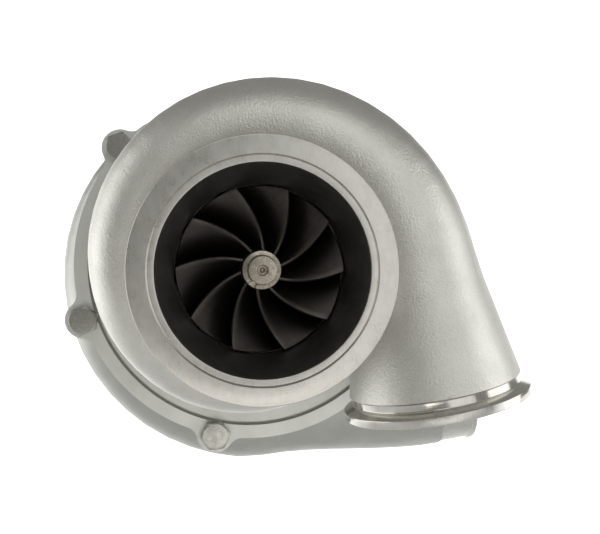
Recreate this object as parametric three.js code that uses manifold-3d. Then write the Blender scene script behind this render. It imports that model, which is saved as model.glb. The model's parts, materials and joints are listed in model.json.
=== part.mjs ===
// Turbocharger: single-scroll turbine housing with band-clamp flanges, ball-bearing centre
// section and a single-stage compressor, built as separate pieces in one scene graph.
//
// Millimetres, +Z up. The shaft runs along Y: the turbine outlet faces -Y and the compressor
// inlet faces +Y. Inside the inner group the shaft axis is the Y axis and the turbine outlet
// face is the plane y = 0. The exported group moves that frame so that its own origin is the
// centre of the turbine inlet flange face, which is what carries the turbocharger on an engine.
// Angles are measured in the XZ plane from +X towards +Z, as seen from the turbine outlet.

import * as THREE from 'three';
import { LoftGeometry } from 'three/addons/geometries/LoftGeometry.js';
import { mergeVertices } from 'three/addons/utils/BufferGeometryUtils.js';
import Module from 'manifold-3d';

const wasm = await Module();
wasm.setup();

// ---------------------------------------------------------------- driving dimensions
//
// A plain number is a size that can be set by itself. A sum is a size or a place that follows
// from others, so that what fits together keeps fitting when one of them changes.

const ROUND = 24;                       // segments on large turned parts
const ROUND_SMALL = 16;                 // segments on small turned parts
const ROUND_SHANK = 8;                  // segments on screw shanks and their holes

// Radius of the circle round a hexagon with the given width across its flats.
const hexR = (flats) => flats / 2 / Math.cos(Math.PI / 6);

// Fits
const FIT_GAP = 0.1;                    // between faces that seat on each other
const PILOT_GAP = 0.3;                  // round spigots and pilots
const HOLE_CLEARANCE = 0.4;             // round a screw in its clearance hole
const THREAD_CLEARANCE = 0.25;          // round a screw in its tapped hole
const HOLE_DEPTH_SPARE = 1.5;           // tapped hole beyond the screw's end
const HEAD_CLEARANCE = 0.4;             // between screw heads and the castings beside them

// Fasteners: shank radius, width across the flats, head height
const M8 = { shank: 4.0, flats: 13.0, head: 5.3 };
const M6 = { shank: 3.0, flats: 10.0, head: 4.0 };
const M5 = { shank: 2.5, flats: 8.0, head: 3.5 };
const NUT = { flats: 13.0, height: 7.0 };
const NUT_THREAD_SPARE = 3.0;           // shaft end beyond the nut

// Turbine wheel
const TURBINE_BLADES = 10;
const EXDUCER_R = 33.9;
const EXDUCER_Y = 25.4;
const TURBINE_TIP_STEP = 3.1;           // inlet tip radius beyond the outlet tip radius
const TURBINE_LENGTH = 23.6;            // from the outlet edge to the inlet edge
const TURBINE_TIP_WIDTH = 11.0;
const TURBINE_HUB_R = 8.0;
const TURBINE_HUB_MARGIN = 3.0;         // back disc inside the blade tips
const TURBINE_NOSE_R = 5.5;
const TURBINE_NOSE_LENGTH = 16.4;       // nose face ahead of the outlet edge
const TURBINE_NOSE_SHOULDER = 6.0;      // shoulder ahead of the outlet edge
const TURBINE_BLADE_THICK = 1.3;
const TURBINE_EDGE_LEAN = 28;           // degrees from root to tip of the outlet edge
const TURBINE_WRAP = 76;                // degrees from the outlet root to the inlet edge
const TURBINE_BLADE_PHASE = 6.4;
const TURBINE_TIP_CLEARANCE = 0.7;
const TURBINE_BACK_CLEARANCE = 1.2;
const TURBINE_TIP_R = EXDUCER_R + TURBINE_TIP_STEP;
const TURBINE_TIP_Y = EXDUCER_Y + TURBINE_LENGTH;
const TURBINE_BACK_Y = TURBINE_TIP_Y + TURBINE_TIP_WIDTH;
const TURBINE_NOSE_Y = EXDUCER_Y - TURBINE_NOSE_LENGTH;

// Turbine outlet: a shelf round the wheel, a lip inside the flange and the band-clamp flange
const OUTLET_SHELF = 5.7;
const OUTLET_LIP_WIDTH = 2.8;
const OUTLET_LIP_STEP = 1.0;
const OUTLET_WALL = 3.4;
const FLANGE_STEP = 4.3;                // flange rim outside its neck
const OUTLET_FLANGE_LAND = 3.5;
const FLANGE_CONE = 1.8;                // axial depth of the clamping cone on both flanges
const NECK_PAST_WHEEL = 4.6;            // straight neck beyond the outlet edge
const OUTLET_BORE_R = EXDUCER_R + TURBINE_TIP_CLEARANCE + OUTLET_SHELF;
const OUTLET_LIP_R = OUTLET_BORE_R + OUTLET_LIP_WIDTH;
const OUTLET_NECK_R = OUTLET_LIP_R + OUTLET_WALL;
const OUTLET_FLANGE_R = OUTLET_NECK_R + FLANGE_STEP;
const NECK_END_Y = EXDUCER_Y + NECK_PAST_WHEEL;

// Joint between the turbine housing and the centre housing
const SHIELD_MARGIN = 2.4;              // heat shield outside the wheel's tips
const SHIELD_DEPTH = 4.8;
const SHIELD_THICK = 1.0;
const SHIELD_SEAT = 4.6;                // spigot outside the heat shield
const SPIGOT_DEPTH = 6.0;
const CLAMP_BOLT_OUT = 6.5;             // clamp bolts outside the spigot
const REAR_RING_MARGIN = 6.5;           // rear ring outside the clamp bolts
const REAR_RING_WIDTH = 16.0;
const CLAMP_PLATES = 3;
const CLAMP_PLATE_THICK = 3.0;
const CLAMP_PLATE_SWEEP = 100;
const CLAMP_PLATE_GRIP = 2.5;
const CLAMP_PLATE_INSET = 1.0;          // plate rim inside the rear ring's rim
const CLAMP_BOLT_SPREAD = 20;           // degrees each side of a plate's middle
const CLAMP_SCREW_BITE = 8.0;
const SHIELD_R = TURBINE_TIP_R + SHIELD_MARGIN;
const SHIELD_FRONT_Y = TURBINE_BACK_Y + TURBINE_BACK_CLEARANCE;
const SPIGOT_R = SHIELD_R + SHIELD_SEAT;
const SPIGOT_Y = SHIELD_FRONT_Y + SHIELD_DEPTH;
const REAR_FACE_Y = SPIGOT_Y + SPIGOT_DEPTH;
const CLAMP_BOLT_R = SPIGOT_R + CLAMP_BOLT_OUT;
const REAR_RING_R = CLAMP_BOLT_R + REAR_RING_MARGIN;
const CLAMP_SCREW_LENGTH = CLAMP_PLATE_THICK + CLAMP_SCREW_BITE;
const CLAMP_HEAD_Y = REAR_FACE_Y + CLAMP_PLATE_THICK + M6.head;

// Turbine scroll: section radius and inner wall, from the inlet round to the tongue
const SCROLL_WALL = 4.5;
const SCROLL_START_A = 27.0;
const SCROLL_END_A = 8.8;
const SCROLL_START_MARGIN = 3.5;        // scroll's inner side outside the wheel's tips
const SCROLL_END_MARGIN = 2.4;
const SCROLL_REAR_SPACE = 3.0;          // rear face beyond the widest section
const SCROLL_END_OFFSET = 3.5;          // last section ahead of the nozzle's middle
const SCROLL_SWEEP = 330;
const SCROLL_NARROWING = 0.76;            // below 1, the scroll narrows fastest near its start
const SCROLL_START_C = TURBINE_TIP_R + SCROLL_START_MARGIN + SCROLL_START_A;
const SCROLL_END_C = TURBINE_TIP_R + SCROLL_END_MARGIN + SCROLL_END_A;
const SCROLL_START_Y = REAR_FACE_Y - SCROLL_REAR_SPACE - SCROLL_START_A;
const SCROLL_END_Y = TURBINE_TIP_Y + TURBINE_TIP_WIDTH / 2 - SCROLL_END_OFFSET;

// Turbine inlet flange (band-clamp flange that carries the turbocharger)
const INLET_OUT = 10.2;                 // flange centre outboard of the scroll's first section
const INLET_DROP = 58.0;                // flange centre below the shaft
const INLET_TILT = 10.8;
const INLET_BORE_R = 31.5;
const INLET_WALL = 4.6;
const INLET_FLANGE_STEP = 4.4;
const INLET_FLANGE_LAND = 3.4;
const INLET_NECK_TOP = 9.0;
const CAST_STEP = 1.2;                  // casting stands proud of the turned inlet neck
const INLET_NECK_R = INLET_BORE_R + INLET_WALL;
const INLET_FLANGE_R = INLET_NECK_R + INLET_FLANGE_STEP;
const INLET_CENTRE = new THREE.Vector3(SCROLL_START_C + INLET_OUT, SCROLL_START_Y, -INLET_DROP);

// Shaft and ball-bearing cartridge
const SHAFT_R = 5.0;
const STUB_STEP = 1.0;                  // compressor end of the shaft thinner than its middle
const SHAFT_BOSS_STEP = 5.0;            // wheel's boss outside the shaft
const SHAFT_BOSS_PAST = 4.0;            // boss beyond the centre housing's front face
const BALLS_PER_ROW = 8;
const BALL_R = 2.2;
const BALL_PLAY = 0.25;                 // raceway radius beyond the ball's
const POCKET_PLAY = 0.4;                // cage pocket radius beyond the ball's
const INNER_RACE_WALL = 1.4;            // from the shaft to the balls
const OUTER_RACE_WALL = 1.2;            // from the balls to the cartridge's outside
const SHOULDER_STEP = 1.4;              // race shoulders each side of the pitch circle
const CAGE_STEP = 0.9;                  // cage faces each side of the pitch circle
const CAGE_RIM = 0.7;                   // cage beyond its pockets, each side
const RACE_SIDE = 1.4;                  // race beyond the balls, each side
const CARTRIDGE_LENGTH = 27.0;
const CARTRIDGE_GAP = 0.5;              // from the cartridge to the rotor's shoulders
const INNER_RACE_WIDTH = 9.0;
const STUB_R = SHAFT_R - STUB_STEP;
const SHAFT_BOSS_R = SHAFT_R + SHAFT_BOSS_STEP;
const SHAFT_BOSS_END_Y = SPIGOT_Y + SHAFT_BOSS_PAST;
const BALL_PITCH_R = SHAFT_R + INNER_RACE_WALL + BALL_R;
const RACEWAY_R = BALL_R + BALL_PLAY;
const CAGE_POCKET_R = BALL_R + POCKET_PLAY;
const OUTER_SHOULDER_R = BALL_PITCH_R + SHOULDER_STEP;
const INNER_SHOULDER_R = BALL_PITCH_R - SHOULDER_STEP;
const CAGE_INNER_R = BALL_PITCH_R - CAGE_STEP;
const CAGE_OUTER_R = BALL_PITCH_R + CAGE_STEP;
const CAGE_WIDTH = 2 * (CAGE_POCKET_R + CAGE_RIM);
const CARTRIDGE_R = BALL_PITCH_R + BALL_R + OUTER_RACE_WALL;
const CARTRIDGE_START_Y = SHAFT_BOSS_END_Y + CARTRIDGE_GAP;
const CARTRIDGE_END_Y = CARTRIDGE_START_Y + CARTRIDGE_LENGTH;
const RACE_INSET = BALL_R + RACE_SIDE;
const STUB_START_Y = CARTRIDGE_END_Y + CARTRIDGE_GAP;

// Centre housing and its oil and water connections
const BODY_R = 29.0;
const BODY_TAPER = 8.0;
const SPIGOT_RIM = 5.5;                 // spigot outside the taper's wide end
const MATE_FLANGE_THICK = 7.0;
const MATE_FLANGE_BEFORE_END = 0.5;     // flange starts ahead of the cartridge's end
const MATE_SCREWS = 4;
const MATE_SCREW_OUT = 6.5;             // screws outside the body, flange outside the screws
const MATE_SCREW_BITE = 6.0;
const OIL_IN_HOLE_R = 4.0;
const OIL_IN_WALL = 7.0;
const OIL_IN_RISE = 9.0;                // pad face above the body
const OIL_OUT_HOLE_R = 7.5;
const OIL_OUT_WALL = 2.0;
const OIL_OUT_PAD_MARGIN = 2.5;
const OIL_OUT_THICK = 7.0;
const OIL_OUT_DROP = 13.0;              // pad face below the body
const OIL_OUT_STUD_SPACING = 38.0;
const OIL_OUT_STUD_R = 3.4;
const OIL_OUT_STUD_MARGIN = 7.0;
const WATER_HOLE_R = 6.0;
const WATER_WALL = 3.5;
const WATER_RISE = 7.0;                 // port face outside the body
const WATER_DEPTH = 12.0;
const LOCATOR_ANGLE = 225;
const LOCATOR_RISE = 2.0;               // screw seat outside the body
const LOCATOR_TIP_STEP = 0.6;           // screw tip outside the outer race's bore
const BODY_BACK_Y = CARTRIDGE_END_Y - MATE_FLANGE_BEFORE_END;
const MATE_Y = BODY_BACK_Y + MATE_FLANGE_THICK;
const MATE_SCREW_R = BODY_R + MATE_SCREW_OUT;
const MATE_FLANGE_R = MATE_SCREW_R + MATE_SCREW_OUT;
const MATE_SCREW_LENGTH = MATE_FLANGE_THICK + MATE_SCREW_BITE;
const OIL_IN_PAD = OIL_IN_HOLE_R + OIL_IN_WALL;
const OIL_IN_HEIGHT = BODY_R + OIL_IN_RISE;
const OIL_IN_Y = REAR_FACE_Y + CLAMP_PLATE_THICK + HEAD_CLEARANCE + OIL_IN_PAD;
const OIL_OUT_WIDTH = 2 * (OIL_OUT_HOLE_R + OIL_OUT_PAD_MARGIN);
const OIL_OUT_LENGTH = OIL_OUT_STUD_SPACING + 2 * OIL_OUT_STUD_MARGIN;
const OIL_OUT_HEIGHT = BODY_R + OIL_OUT_DROP;
const OIL_OUT_Y = CLAMP_HEAD_Y + HEAD_CLEARANCE + OIL_OUT_WIDTH / 2;
const WATER_BOSS_R = WATER_HOLE_R + WATER_WALL;
const WATER_REACH = BODY_R + WATER_RISE;
const WATER_Y = REAR_FACE_Y + CLAMP_PLATE_THICK + HEAD_CLEARANCE + WATER_BOSS_R;
const LOCATOR_Y = REAR_FACE_Y + BODY_TAPER + M5.flats / 2;
const LOCATOR_SEAT_R = BODY_R + LOCATOR_RISE;
const LOCATOR_TIP_R = OUTER_SHOULDER_R + LOCATOR_TIP_STEP;

// Compressor backplate, from the wheel outwards
const IMPELLER_R = 42.5;
const WHEEL_RECESS_MARGIN = 1.5;
const WHEEL_RECESS_DEPTH = 0.8;
const DIFFUSER_LENGTH = 20.5;           // from the wheel's rim to the pilot
const PILOT_DEPTH = 2.0;
const PLATE_RIM_WIDTH = 23.5;           // from the pilot to the rim
const PLATE_RIM_THICK = 8.0;
const EARS = 6;
const EAR_PHASE = 17.9;
const EAR_MARGIN = 1.7;                 // ear outside the screw head's corners
const EAR_BLEND_R = 7.0;
const EAR_BOLT_INSET = 0.5;             // bolt circle inside the rim
const ORING_R = 0.95;
const ORING_DEPTH_PLAY = 0.2;
const ORING_WIDTH_PLAY = 0.9;
const COVER_ORING_OUT = 4.5;            // cover O-ring outside the pilot
const MATE_ORING_IN = 5.0;              // centre O-ring inside the centre housing's body
const COVER_FACE_Y = MATE_Y + PLATE_RIM_THICK;
const DIFFUSER_Y = COVER_FACE_Y + PILOT_DEPTH;
const WHEEL_RECESS_R = IMPELLER_R + WHEEL_RECESS_MARGIN;
const PILOT_R = IMPELLER_R + DIFFUSER_LENGTH;
const PLATE_R = PILOT_R + PLATE_RIM_WIDTH;
const EAR_BOLT_R = PLATE_R - EAR_BOLT_INSET;
const EAR_R = hexR(M8.flats) + EAR_MARGIN;
const COVER_ORING_R = PILOT_R + COVER_ORING_OUT;
const MATE_ORING_R = BODY_R - MATE_ORING_IN;
const ORING_GROOVE_DEPTH = 2 * ORING_R + ORING_DEPTH_PLAY;
const ORING_GROOVE_WIDTH = 2 * ORING_R + ORING_WIDTH_PLAY;

// Compressor wheel
const COMPRESSOR_BLADES = 7;
const IMPELLER_BACK_GAP = 1.0;          // from the backplate's recess to the wheel
const IMPELLER_PAD = 0.6;               // raised pad at the back of the wheel
const IMPELLER_TIP_WIDTH = 4.0;
const IMPELLER_LENGTH = 31.8;           // from the back to the inlet edge
const INDUCER_STEP = 10.0;              // inlet tip radius inside the rim
const IMPELLER_NOSE_LENGTH = 3.0;
const IMPELLER_NOSE_WALL = 5.0;
const IMPELLER_BLADE_THICK = 1.1;
const IMPELLER_DISC_MARGIN = 0.6;       // back disc inside the blade tips
const SPLITTER_START = 0.32;
const IMPELLER_WRAP = 48;
const IMPELLER_BACKSWEEP = 22;
const IMPELLER_CLEARANCE = 0.7;
const INDUCER_R = IMPELLER_R - INDUCER_STEP;
const IMPELLER_NOSE_R = STUB_R + IMPELLER_NOSE_WALL;
const IMPELLER_BACK_Y = DIFFUSER_Y - WHEEL_RECESS_DEPTH + IMPELLER_BACK_GAP;
const IMPELLER_TIP_Y = IMPELLER_BACK_Y + IMPELLER_TIP_WIDTH;
const INDUCER_Y = IMPELLER_BACK_Y + IMPELLER_LENGTH;
const IMPELLER_NOSE_Y = INDUCER_Y + IMPELLER_NOSE_LENGTH;
const SHAFT_END_Y = IMPELLER_NOSE_Y + NUT.height + NUT_THREAD_SPARE;

// Seal rings and the compressor-end collar
const COLLAR_WALL = 5.0;
const COLLAR_GAP = 0.2;                 // from the collar to the wheel's pad
const THROWER_STEP = 3.0;               // oil thrower outside the collar
const THROWER_SPACE = 2.0;              // room round the oil thrower
const SEAL_WIDTH = 1.4;
const SEAL_DEPTH = 1.3;
const SEAL_GAP = 12;                    // degrees
const SEAL_SPRING = 0.5;                // a fitted ring stands clear of its groove's floor
const SEAL_SIDE_CLEARANCE = 0.2;
const SEAL_FIT = 0.5;                   // running gap between a boss and its bore
const TURBINE_SEAL_PAST = 1.4;          // ring beyond the centre housing's front face
const COMPRESSOR_SEAL_PAST = 4.0;       // ring beyond the backplate's front face
const COLLAR_R = STUB_R + COLLAR_WALL;
const COLLAR_END_Y = IMPELLER_BACK_Y - IMPELLER_PAD - COLLAR_GAP;
const TURBINE_SEAL_Y = SPIGOT_Y + TURBINE_SEAL_PAST;
const COMPRESSOR_SEAL_Y = MATE_Y + COMPRESSOR_SEAL_PAST;

// Compressor housing
const VOLUTE_WALL = 4.0;
const VOLUTE_START_A = 6.53;            // section radius at the tongue
const VOLUTE_END_A = 22.0;              // section radius where the outlet duct leaves
const VOLUTE_START = -70;
const VOLUTE_END = 270;
const VOLUTE_PILOT_LAP = 2.0;           // volute's inner side inside the pilot
const DIFFUSER_CLEARANCE = 0.4;         // diffuser wall beyond the wheel's tip
const VOLUTE_SET_BACK = 0.4;            // volute beyond the diffuser wall
const DUCT_LEAD_IN = 6.0;               // duct bore starts inside the volute, a little narrower
const DUCT_LEAD_STEP = 1.5;
const AIR_OUT_TILT = 9.0;
const AIR_OUT_R = 31.75;
const AIR_OUT_WALL = 3.2;
const AIR_OUT_REACH = 117.8;
const AIR_OUT_PIPE = 18.0;
const AIR_OUT_CAST_STEP = 0.85;         // casting stands proud of the turned pipe
const AIR_OUT_BEAD = 0.9;
const AIR_OUT_BEAD_WIDTH = 3.0;
const AIR_OUT_OVERHANG = 3.6;           // duct's end reaches in front of the cover face
const AIR_IN_R = 50.8;
const AIR_IN_WALL = 3.8;
const AIR_IN_LENGTH = 57.0;             // pipe's end beyond the wheel's inlet edge
const AIR_IN_BEAD = 1.0;
const AIR_IN_BEAD_WIDTH = 3.5;
const COVER_SCREW_BITE = 9.0;
const COVER_EAR_FLOOR = 1.5;            // metal beyond the tapped holes
const VOLUTE_INNER_R = PILOT_R - VOLUTE_PILOT_LAP;
const DIFFUSER_WALL_Y = IMPELLER_TIP_Y + DIFFUSER_CLEARANCE;
const VOLUTE_FRONT_Y = DIFFUSER_WALL_Y + VOLUTE_SET_BACK;
const AIR_OUT_CAST_R = AIR_OUT_R + AIR_OUT_CAST_STEP;
const AIR_IN_BORE_R = AIR_IN_R - AIR_IN_WALL;
const AIR_IN_END_Y = INDUCER_Y + AIR_IN_LENGTH;
const COVER_SCREW_LENGTH = PLATE_RIM_THICK + COVER_SCREW_BITE;
const COVER_EAR_END_Y = COVER_FACE_Y + COVER_SCREW_BITE + HOLE_DEPTH_SPARE + COVER_EAR_FLOOR;

// ---------------------------------------------------------------- small helpers

const rad = THREE.MathUtils.degToRad;
const lerp = THREE.MathUtils.lerp;

// Merges a geometry's shared vertices and drops triangles that have collapsed to a line.
function welded(geometry) {
  const bare = new THREE.BufferGeometry();
  bare.setAttribute('position', geometry.getAttribute('position'));
  bare.setIndex(geometry.getIndex());
  const merged = mergeVertices(bare, 1e-4);
  const index = merged.getIndex().array;
  const kept = [];
  for (let i = 0; i < index.length; i += 3) {
    const [a, b, c] = [index[i], index[i + 1], index[i + 2]];
    if (a !== b && b !== c && c !== a) kept.push(a, b, c);
  }
  merged.setIndex(kept);
  return merged;
}

function toManifold(geometry) {
  const mesh = welded(geometry);
  return new wasm.Manifold(new wasm.Mesh({
    numProp: 3,
    vertProperties: new Float32Array(mesh.getAttribute('position').array),
    triVerts: new Uint32Array(mesh.getIndex().array),
  }));
}

function toGeometry(solid) {
  const mesh = solid.getMesh();
  const geometry = new THREE.BufferGeometry();
  geometry.setAttribute('position', new THREE.BufferAttribute(mesh.vertProperties, 3));
  geometry.setIndex(new THREE.BufferAttribute(mesh.triVerts, 1));
  return geometry;
}

// Joins the first list of geometries, then cuts the second list out of them.
function solid(adds, cuts = []) {
  let body = toManifold(adds[0]);
  for (const add of adds.slice(1)) body = body.add(toManifold(add));
  for (const cut of cuts) body = body.subtract(toManifold(cut));
  return toGeometry(body);
}

// Turns a closed profile of [radius, y] points about the Y axis; the points run
// counter-clockwise with the radius to the right and y up.
function turned(profile, segments = ROUND) {
  const points = profile.map(([r, y]) => new THREE.Vector2(r, y));
  const closed = profile[0][0] === 0 ? points : [...points, points[0].clone()];
  return welded(new THREE.LatheGeometry(closed, segments));
}

// A plain ring or, with no inner radius, a disc.
function ring(inner, outer, y0, y1, segments = ROUND) {
  if (inner === 0) return turned([[0, y0], [outer, y0], [outer, y1], [0, y1]], segments);
  return turned([[inner, y0], [outer, y0], [outer, y1], [inner, y1]], segments);
}

// Moves a geometry that was made round the Y axis so that its axis starts at `from` and
// points along `direction`.
function along(geometry, from, direction) {
  const turn = new THREE.Quaternion();
  turn.setFromUnitVectors(new THREE.Vector3(0, 1, 0), direction.clone().normalize());
  return geometry.clone().applyQuaternion(turn).translate(from.x, from.y, from.z);
}

// The point at a radius and an angle round the shaft, at a height y along it.
function polar(r, degrees, y) {
  return new THREE.Vector3(r * Math.cos(rad(degrees)), y, r * Math.sin(rad(degrees)));
}

// A flat outline of [x, z] points given a thickness along Y, starting at y0.
function slab(shape, y0, thickness, curveSegments = ROUND_SHANK) {
  const geometry = new THREE.ExtrudeGeometry(shape, {
    depth: thickness, bevelEnabled: false, curveSegments,
  });
  // Turning +Z onto -Y mirrors nothing: x stays, y becomes z.
  return geometry.rotateX(Math.PI / 2).translate(0, y0 + thickness, 0);
}

// Lofts circles of given centre, radius and direction of travel into one closed tube.
function tubeThrough(stations, sides = 14) {
  const sections = stations.map(({ centre, radius, forward }) => {
    const axis = forward.clone().normalize();
    const right = new THREE.Vector3(0, 1, 0);
    const up = new THREE.Vector3().crossVectors(axis, right).normalize();
    const points = [];
    for (let i = 0; i < sides; i += 1) {
      const t = (2 * Math.PI * i) / sides;
      points.push(centre.clone()
        .addScaledVector(right, radius * Math.cos(t))
        .addScaledVector(up, radius * Math.sin(t)));
    }
    return points;
  });
  return welded(new LoftGeometry(sections, { closed: true, capStart: true, capEnd: true }));
}

// Lofts flat [radius, y] outlines that stand round the shaft at the given angles.
function scrollThrough(outlines) {
  const sections = outlines.map(({ degrees, points }) => points.map(([r, y]) => polar(r, degrees, y)));
  return welded(new LoftGeometry(sections, { closed: true, capStart: true, capEnd: true }));
}

// Evenly spaced values from a to b, both included.
function steps(a, b, count) {
  return Array.from({ length: count + 1 }, (_, i) => lerp(a, b, i / count));
}

// ---------------------------------------------------------------- scroll sections

// A round scroll section in [radius, y], counter-clockwise from the outside.
function roundSection(c, y, a, sides = 10) {
  return Array.from({ length: sides }, (_, i) => {
    const t = (2 * Math.PI * i) / sides;
    return [c + a * Math.cos(t), y + a * Math.sin(t)];
  });
}

// A round section that narrows to a slot at its inner side: the arc runs from one tangent
// angle round the outside to the other, and the slot's two lips close it.
function slotSection(c, y, a, fromDeg, toDeg, lips, sides = 7) {
  const arc = steps(fromDeg, toDeg, sides).map((t) => [
    c + a * Math.cos(rad(t)), y + a * Math.sin(rad(t)),
  ]);
  return [...arc, ...lips];
}

function turbineSection(degrees) {
  const s = (degrees / SCROLL_SWEEP) ** SCROLL_NARROWING;
  return {
    c: lerp(SCROLL_START_C, SCROLL_END_C, s),
    y: lerp(SCROLL_START_Y, SCROLL_END_Y, s),
    a: lerp(SCROLL_START_A, SCROLL_END_A, s),
  };
}

function compressorSection(degrees) {
  const a = lerp(VOLUTE_START_A, VOLUTE_END_A, (degrees - VOLUTE_START) / (VOLUTE_END - VOLUTE_START));
  return { c: VOLUTE_INNER_R + a, y: VOLUTE_FRONT_Y + a, a };
}

// ---------------------------------------------------------------- turbine housing

const inletNormal = new THREE.Vector3(Math.sin(rad(INLET_TILT)), 0, -Math.cos(rad(INLET_TILT)));

// Stations of the inlet duct from inside the flange up into the scroll.
function inletStations(flangeR, scrollR, fromDepth) {
  const start = new THREE.Vector3(SCROLL_START_C, SCROLL_START_Y, 2);
  const end = INLET_CENTRE.clone().addScaledVector(inletNormal, -fromDepth);
  const up = new THREE.Vector3(0, 0, 1);
  const intoScroll = inletNormal.clone().negate();
  return steps(0, 1, 5).map((s) => {
    const ease = s * s * (3 - 2 * s);
    return {
      centre: end.clone().lerp(start, s),
      radius: lerp(flangeR, scrollR, ease),
      forward: intoScroll.clone().lerp(up, ease),
    };
  });
}

function outerBodyProfile() {
  return [
    [0, 0],
    [OUTLET_FLANGE_R, 0],
    [OUTLET_FLANGE_R, OUTLET_FLANGE_LAND],
    [OUTLET_NECK_R, OUTLET_FLANGE_LAND + FLANGE_CONE],
    [OUTLET_NECK_R, NECK_END_Y],
    [REAR_RING_R, REAR_FACE_Y - REAR_RING_WIDTH],
    [REAR_RING_R, REAR_FACE_Y],
    [0, REAR_FACE_Y],
  ];
}

// The space inside the turbine housing that the wheel, the heat shield and the centre
// housing's spigot take, from the outlet lip to the rear face.
function turbinePassageProfile() {
  const throatR = EXDUCER_R + TURBINE_TIP_CLEARANCE;
  const tipR = TURBINE_TIP_R + TURBINE_TIP_CLEARANCE;
  const nozzleY = TURBINE_TIP_Y - TURBINE_TIP_CLEARANCE;
  const shroud = steps(0, 1, 4).map((u) => [lerp(throatR, tipR, u ** 3), lerp(EXDUCER_Y, nozzleY, u)]);
  return [
    [0, -1],
    [OUTLET_LIP_R, -1],
    [OUTLET_LIP_R, OUTLET_LIP_STEP],
    [OUTLET_BORE_R, OUTLET_LIP_STEP],
    ...shroud,
    [tipR, SHIELD_FRONT_Y],
    [SHIELD_R + PILOT_GAP, SHIELD_FRONT_Y],
    [SHIELD_R + PILOT_GAP, SPIGOT_Y],
    [SPIGOT_R + PILOT_GAP, SPIGOT_Y],
    [SPIGOT_R + PILOT_GAP, REAR_FACE_Y + 1],
    [0, REAR_FACE_Y + 1],
  ];
}

function inletFlangeProfile() {
  return [
    [0, 0],
    [INLET_FLANGE_R, 0],
    [INLET_FLANGE_R, INLET_FLANGE_LAND],
    [INLET_NECK_R, INLET_FLANGE_LAND + FLANGE_CONE],
    [INLET_NECK_R, INLET_NECK_TOP + 2],
    [0, INLET_NECK_TOP + 2],
  ];
}

// Angles of the clamp plates' middles and of the bolts that hold them.
const plateAngles = steps(0, 360, CLAMP_PLATES).slice(0, -1).map((degrees) => degrees + 90);
const clampBoltAngles = plateAngles.flatMap((middle) => [
  middle - CLAMP_BOLT_SPREAD, middle + CLAMP_BOLT_SPREAD,
]);

// Copies of a hole or pin, made round the Y axis, at a radius and a list of angles.
function spread(geometry, r, angles) {
  return angles.map((degrees) => {
    const at = polar(r, degrees, 0);
    return geometry.clone().translate(at.x, at.y, at.z);
  });
}

function turbineHousing() {
  const outer = scrollThrough(steps(0, SCROLL_SWEEP, 17).map((degrees) => {
    const { c, y, a } = turbineSection(degrees);
    return { degrees, points: roundSection(c, y, a) };
  }));
  const lipR = TURBINE_TIP_R + TURBINE_TIP_CLEARANCE - 0.4;
  const lips = [[lipR, TURBINE_BACK_Y + 0.2], [lipR, TURBINE_TIP_Y + 0.5]];
  const inner = scrollThrough(steps(0, SCROLL_SWEEP, 12).map((degrees) => {
    const { c, y, a } = turbineSection(degrees);
    return { degrees, points: slotSection(c, y, a - SCROLL_WALL, -160, 130, lips) };
  }));
  const ductWall = tubeThrough(inletStations(INLET_NECK_R + CAST_STEP, SCROLL_START_A, INLET_NECK_TOP));
  const ductBore = tubeThrough(inletStations(INLET_BORE_R, SCROLL_START_A - SCROLL_WALL, -1));
  const flange = along(turned(inletFlangeProfile()), INLET_CENTRE, inletNormal.clone().negate());
  const holeEnd = REAR_FACE_Y - CLAMP_SCREW_BITE - HOLE_DEPTH_SPARE;
  const hole = ring(0, M6.shank + THREAD_CLEARANCE, holeEnd, REAR_FACE_Y + 1, ROUND_SHANK);
  return solid(
    [outer, turned(outerBodyProfile()), ductWall, flange],
    [turned(turbinePassageProfile()), inner, ductBore, ...spread(hole, CLAMP_BOLT_R, clampBoltAngles)],
  );
}

// ---------------------------------------------------------------- wheels

// One blade between a hub line and a shroud line, both functions of u that give
// [radius, y]. turn(u, v) is the blade's angle in degrees, thick its thickness in mm. The
// lines run so that the blade's side of larger angle comes out facing outwards.
function blade(hubLine, shroudLine, turn, thick, across, up, first = 0) {
  const positions = [];
  const index = [];
  const at = (i, j, side) => (side * (up + 1) + j) * (across + 1) + i;
  for (const side of [0, 1]) {
    for (let j = 0; j <= up; j += 1) {
      for (let i = 0; i <= across; i += 1) {
        const u = lerp(first, 1, i / across);
        const v = j / up;
        const [hr, hy] = hubLine(u);
        const [sr, sy] = shroudLine(u);
        const r = lerp(hr, sr, v);
        const half = THREE.MathUtils.radToDeg(thick / 2 / r) * (side === 1 ? 1 : -1);
        positions.push(...polar(r, turn(u, v) + half, lerp(hy, sy, v)).toArray());
      }
    }
  }
  const quad = (a, b, c, d) => index.push(a, b, c, a, c, d);
  for (let i = 0; i < across; i += 1) {
    for (let j = 0; j < up; j += 1) {
      quad(at(i, j, 1), at(i, j + 1, 1), at(i + 1, j + 1, 1), at(i + 1, j, 1));
      quad(at(i, j, 0), at(i + 1, j, 0), at(i + 1, j + 1, 0), at(i, j + 1, 0));
    }
    quad(at(i, 0, 0), at(i, 0, 1), at(i + 1, 0, 1), at(i + 1, 0, 0));
    quad(at(i, up, 0), at(i + 1, up, 0), at(i + 1, up, 1), at(i, up, 1));
  }
  for (let j = 0; j < up; j += 1) {
    quad(at(0, j, 0), at(0, j + 1, 0), at(0, j + 1, 1), at(0, j, 1));
    quad(at(across, j, 0), at(across, j, 1), at(across, j + 1, 1), at(across, j + 1, 0));
  }
  const geometry = new THREE.BufferGeometry();
  geometry.setAttribute('position', new THREE.Float32BufferAttribute(positions, 3));
  geometry.setIndex(index);
  return geometry;
}

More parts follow.
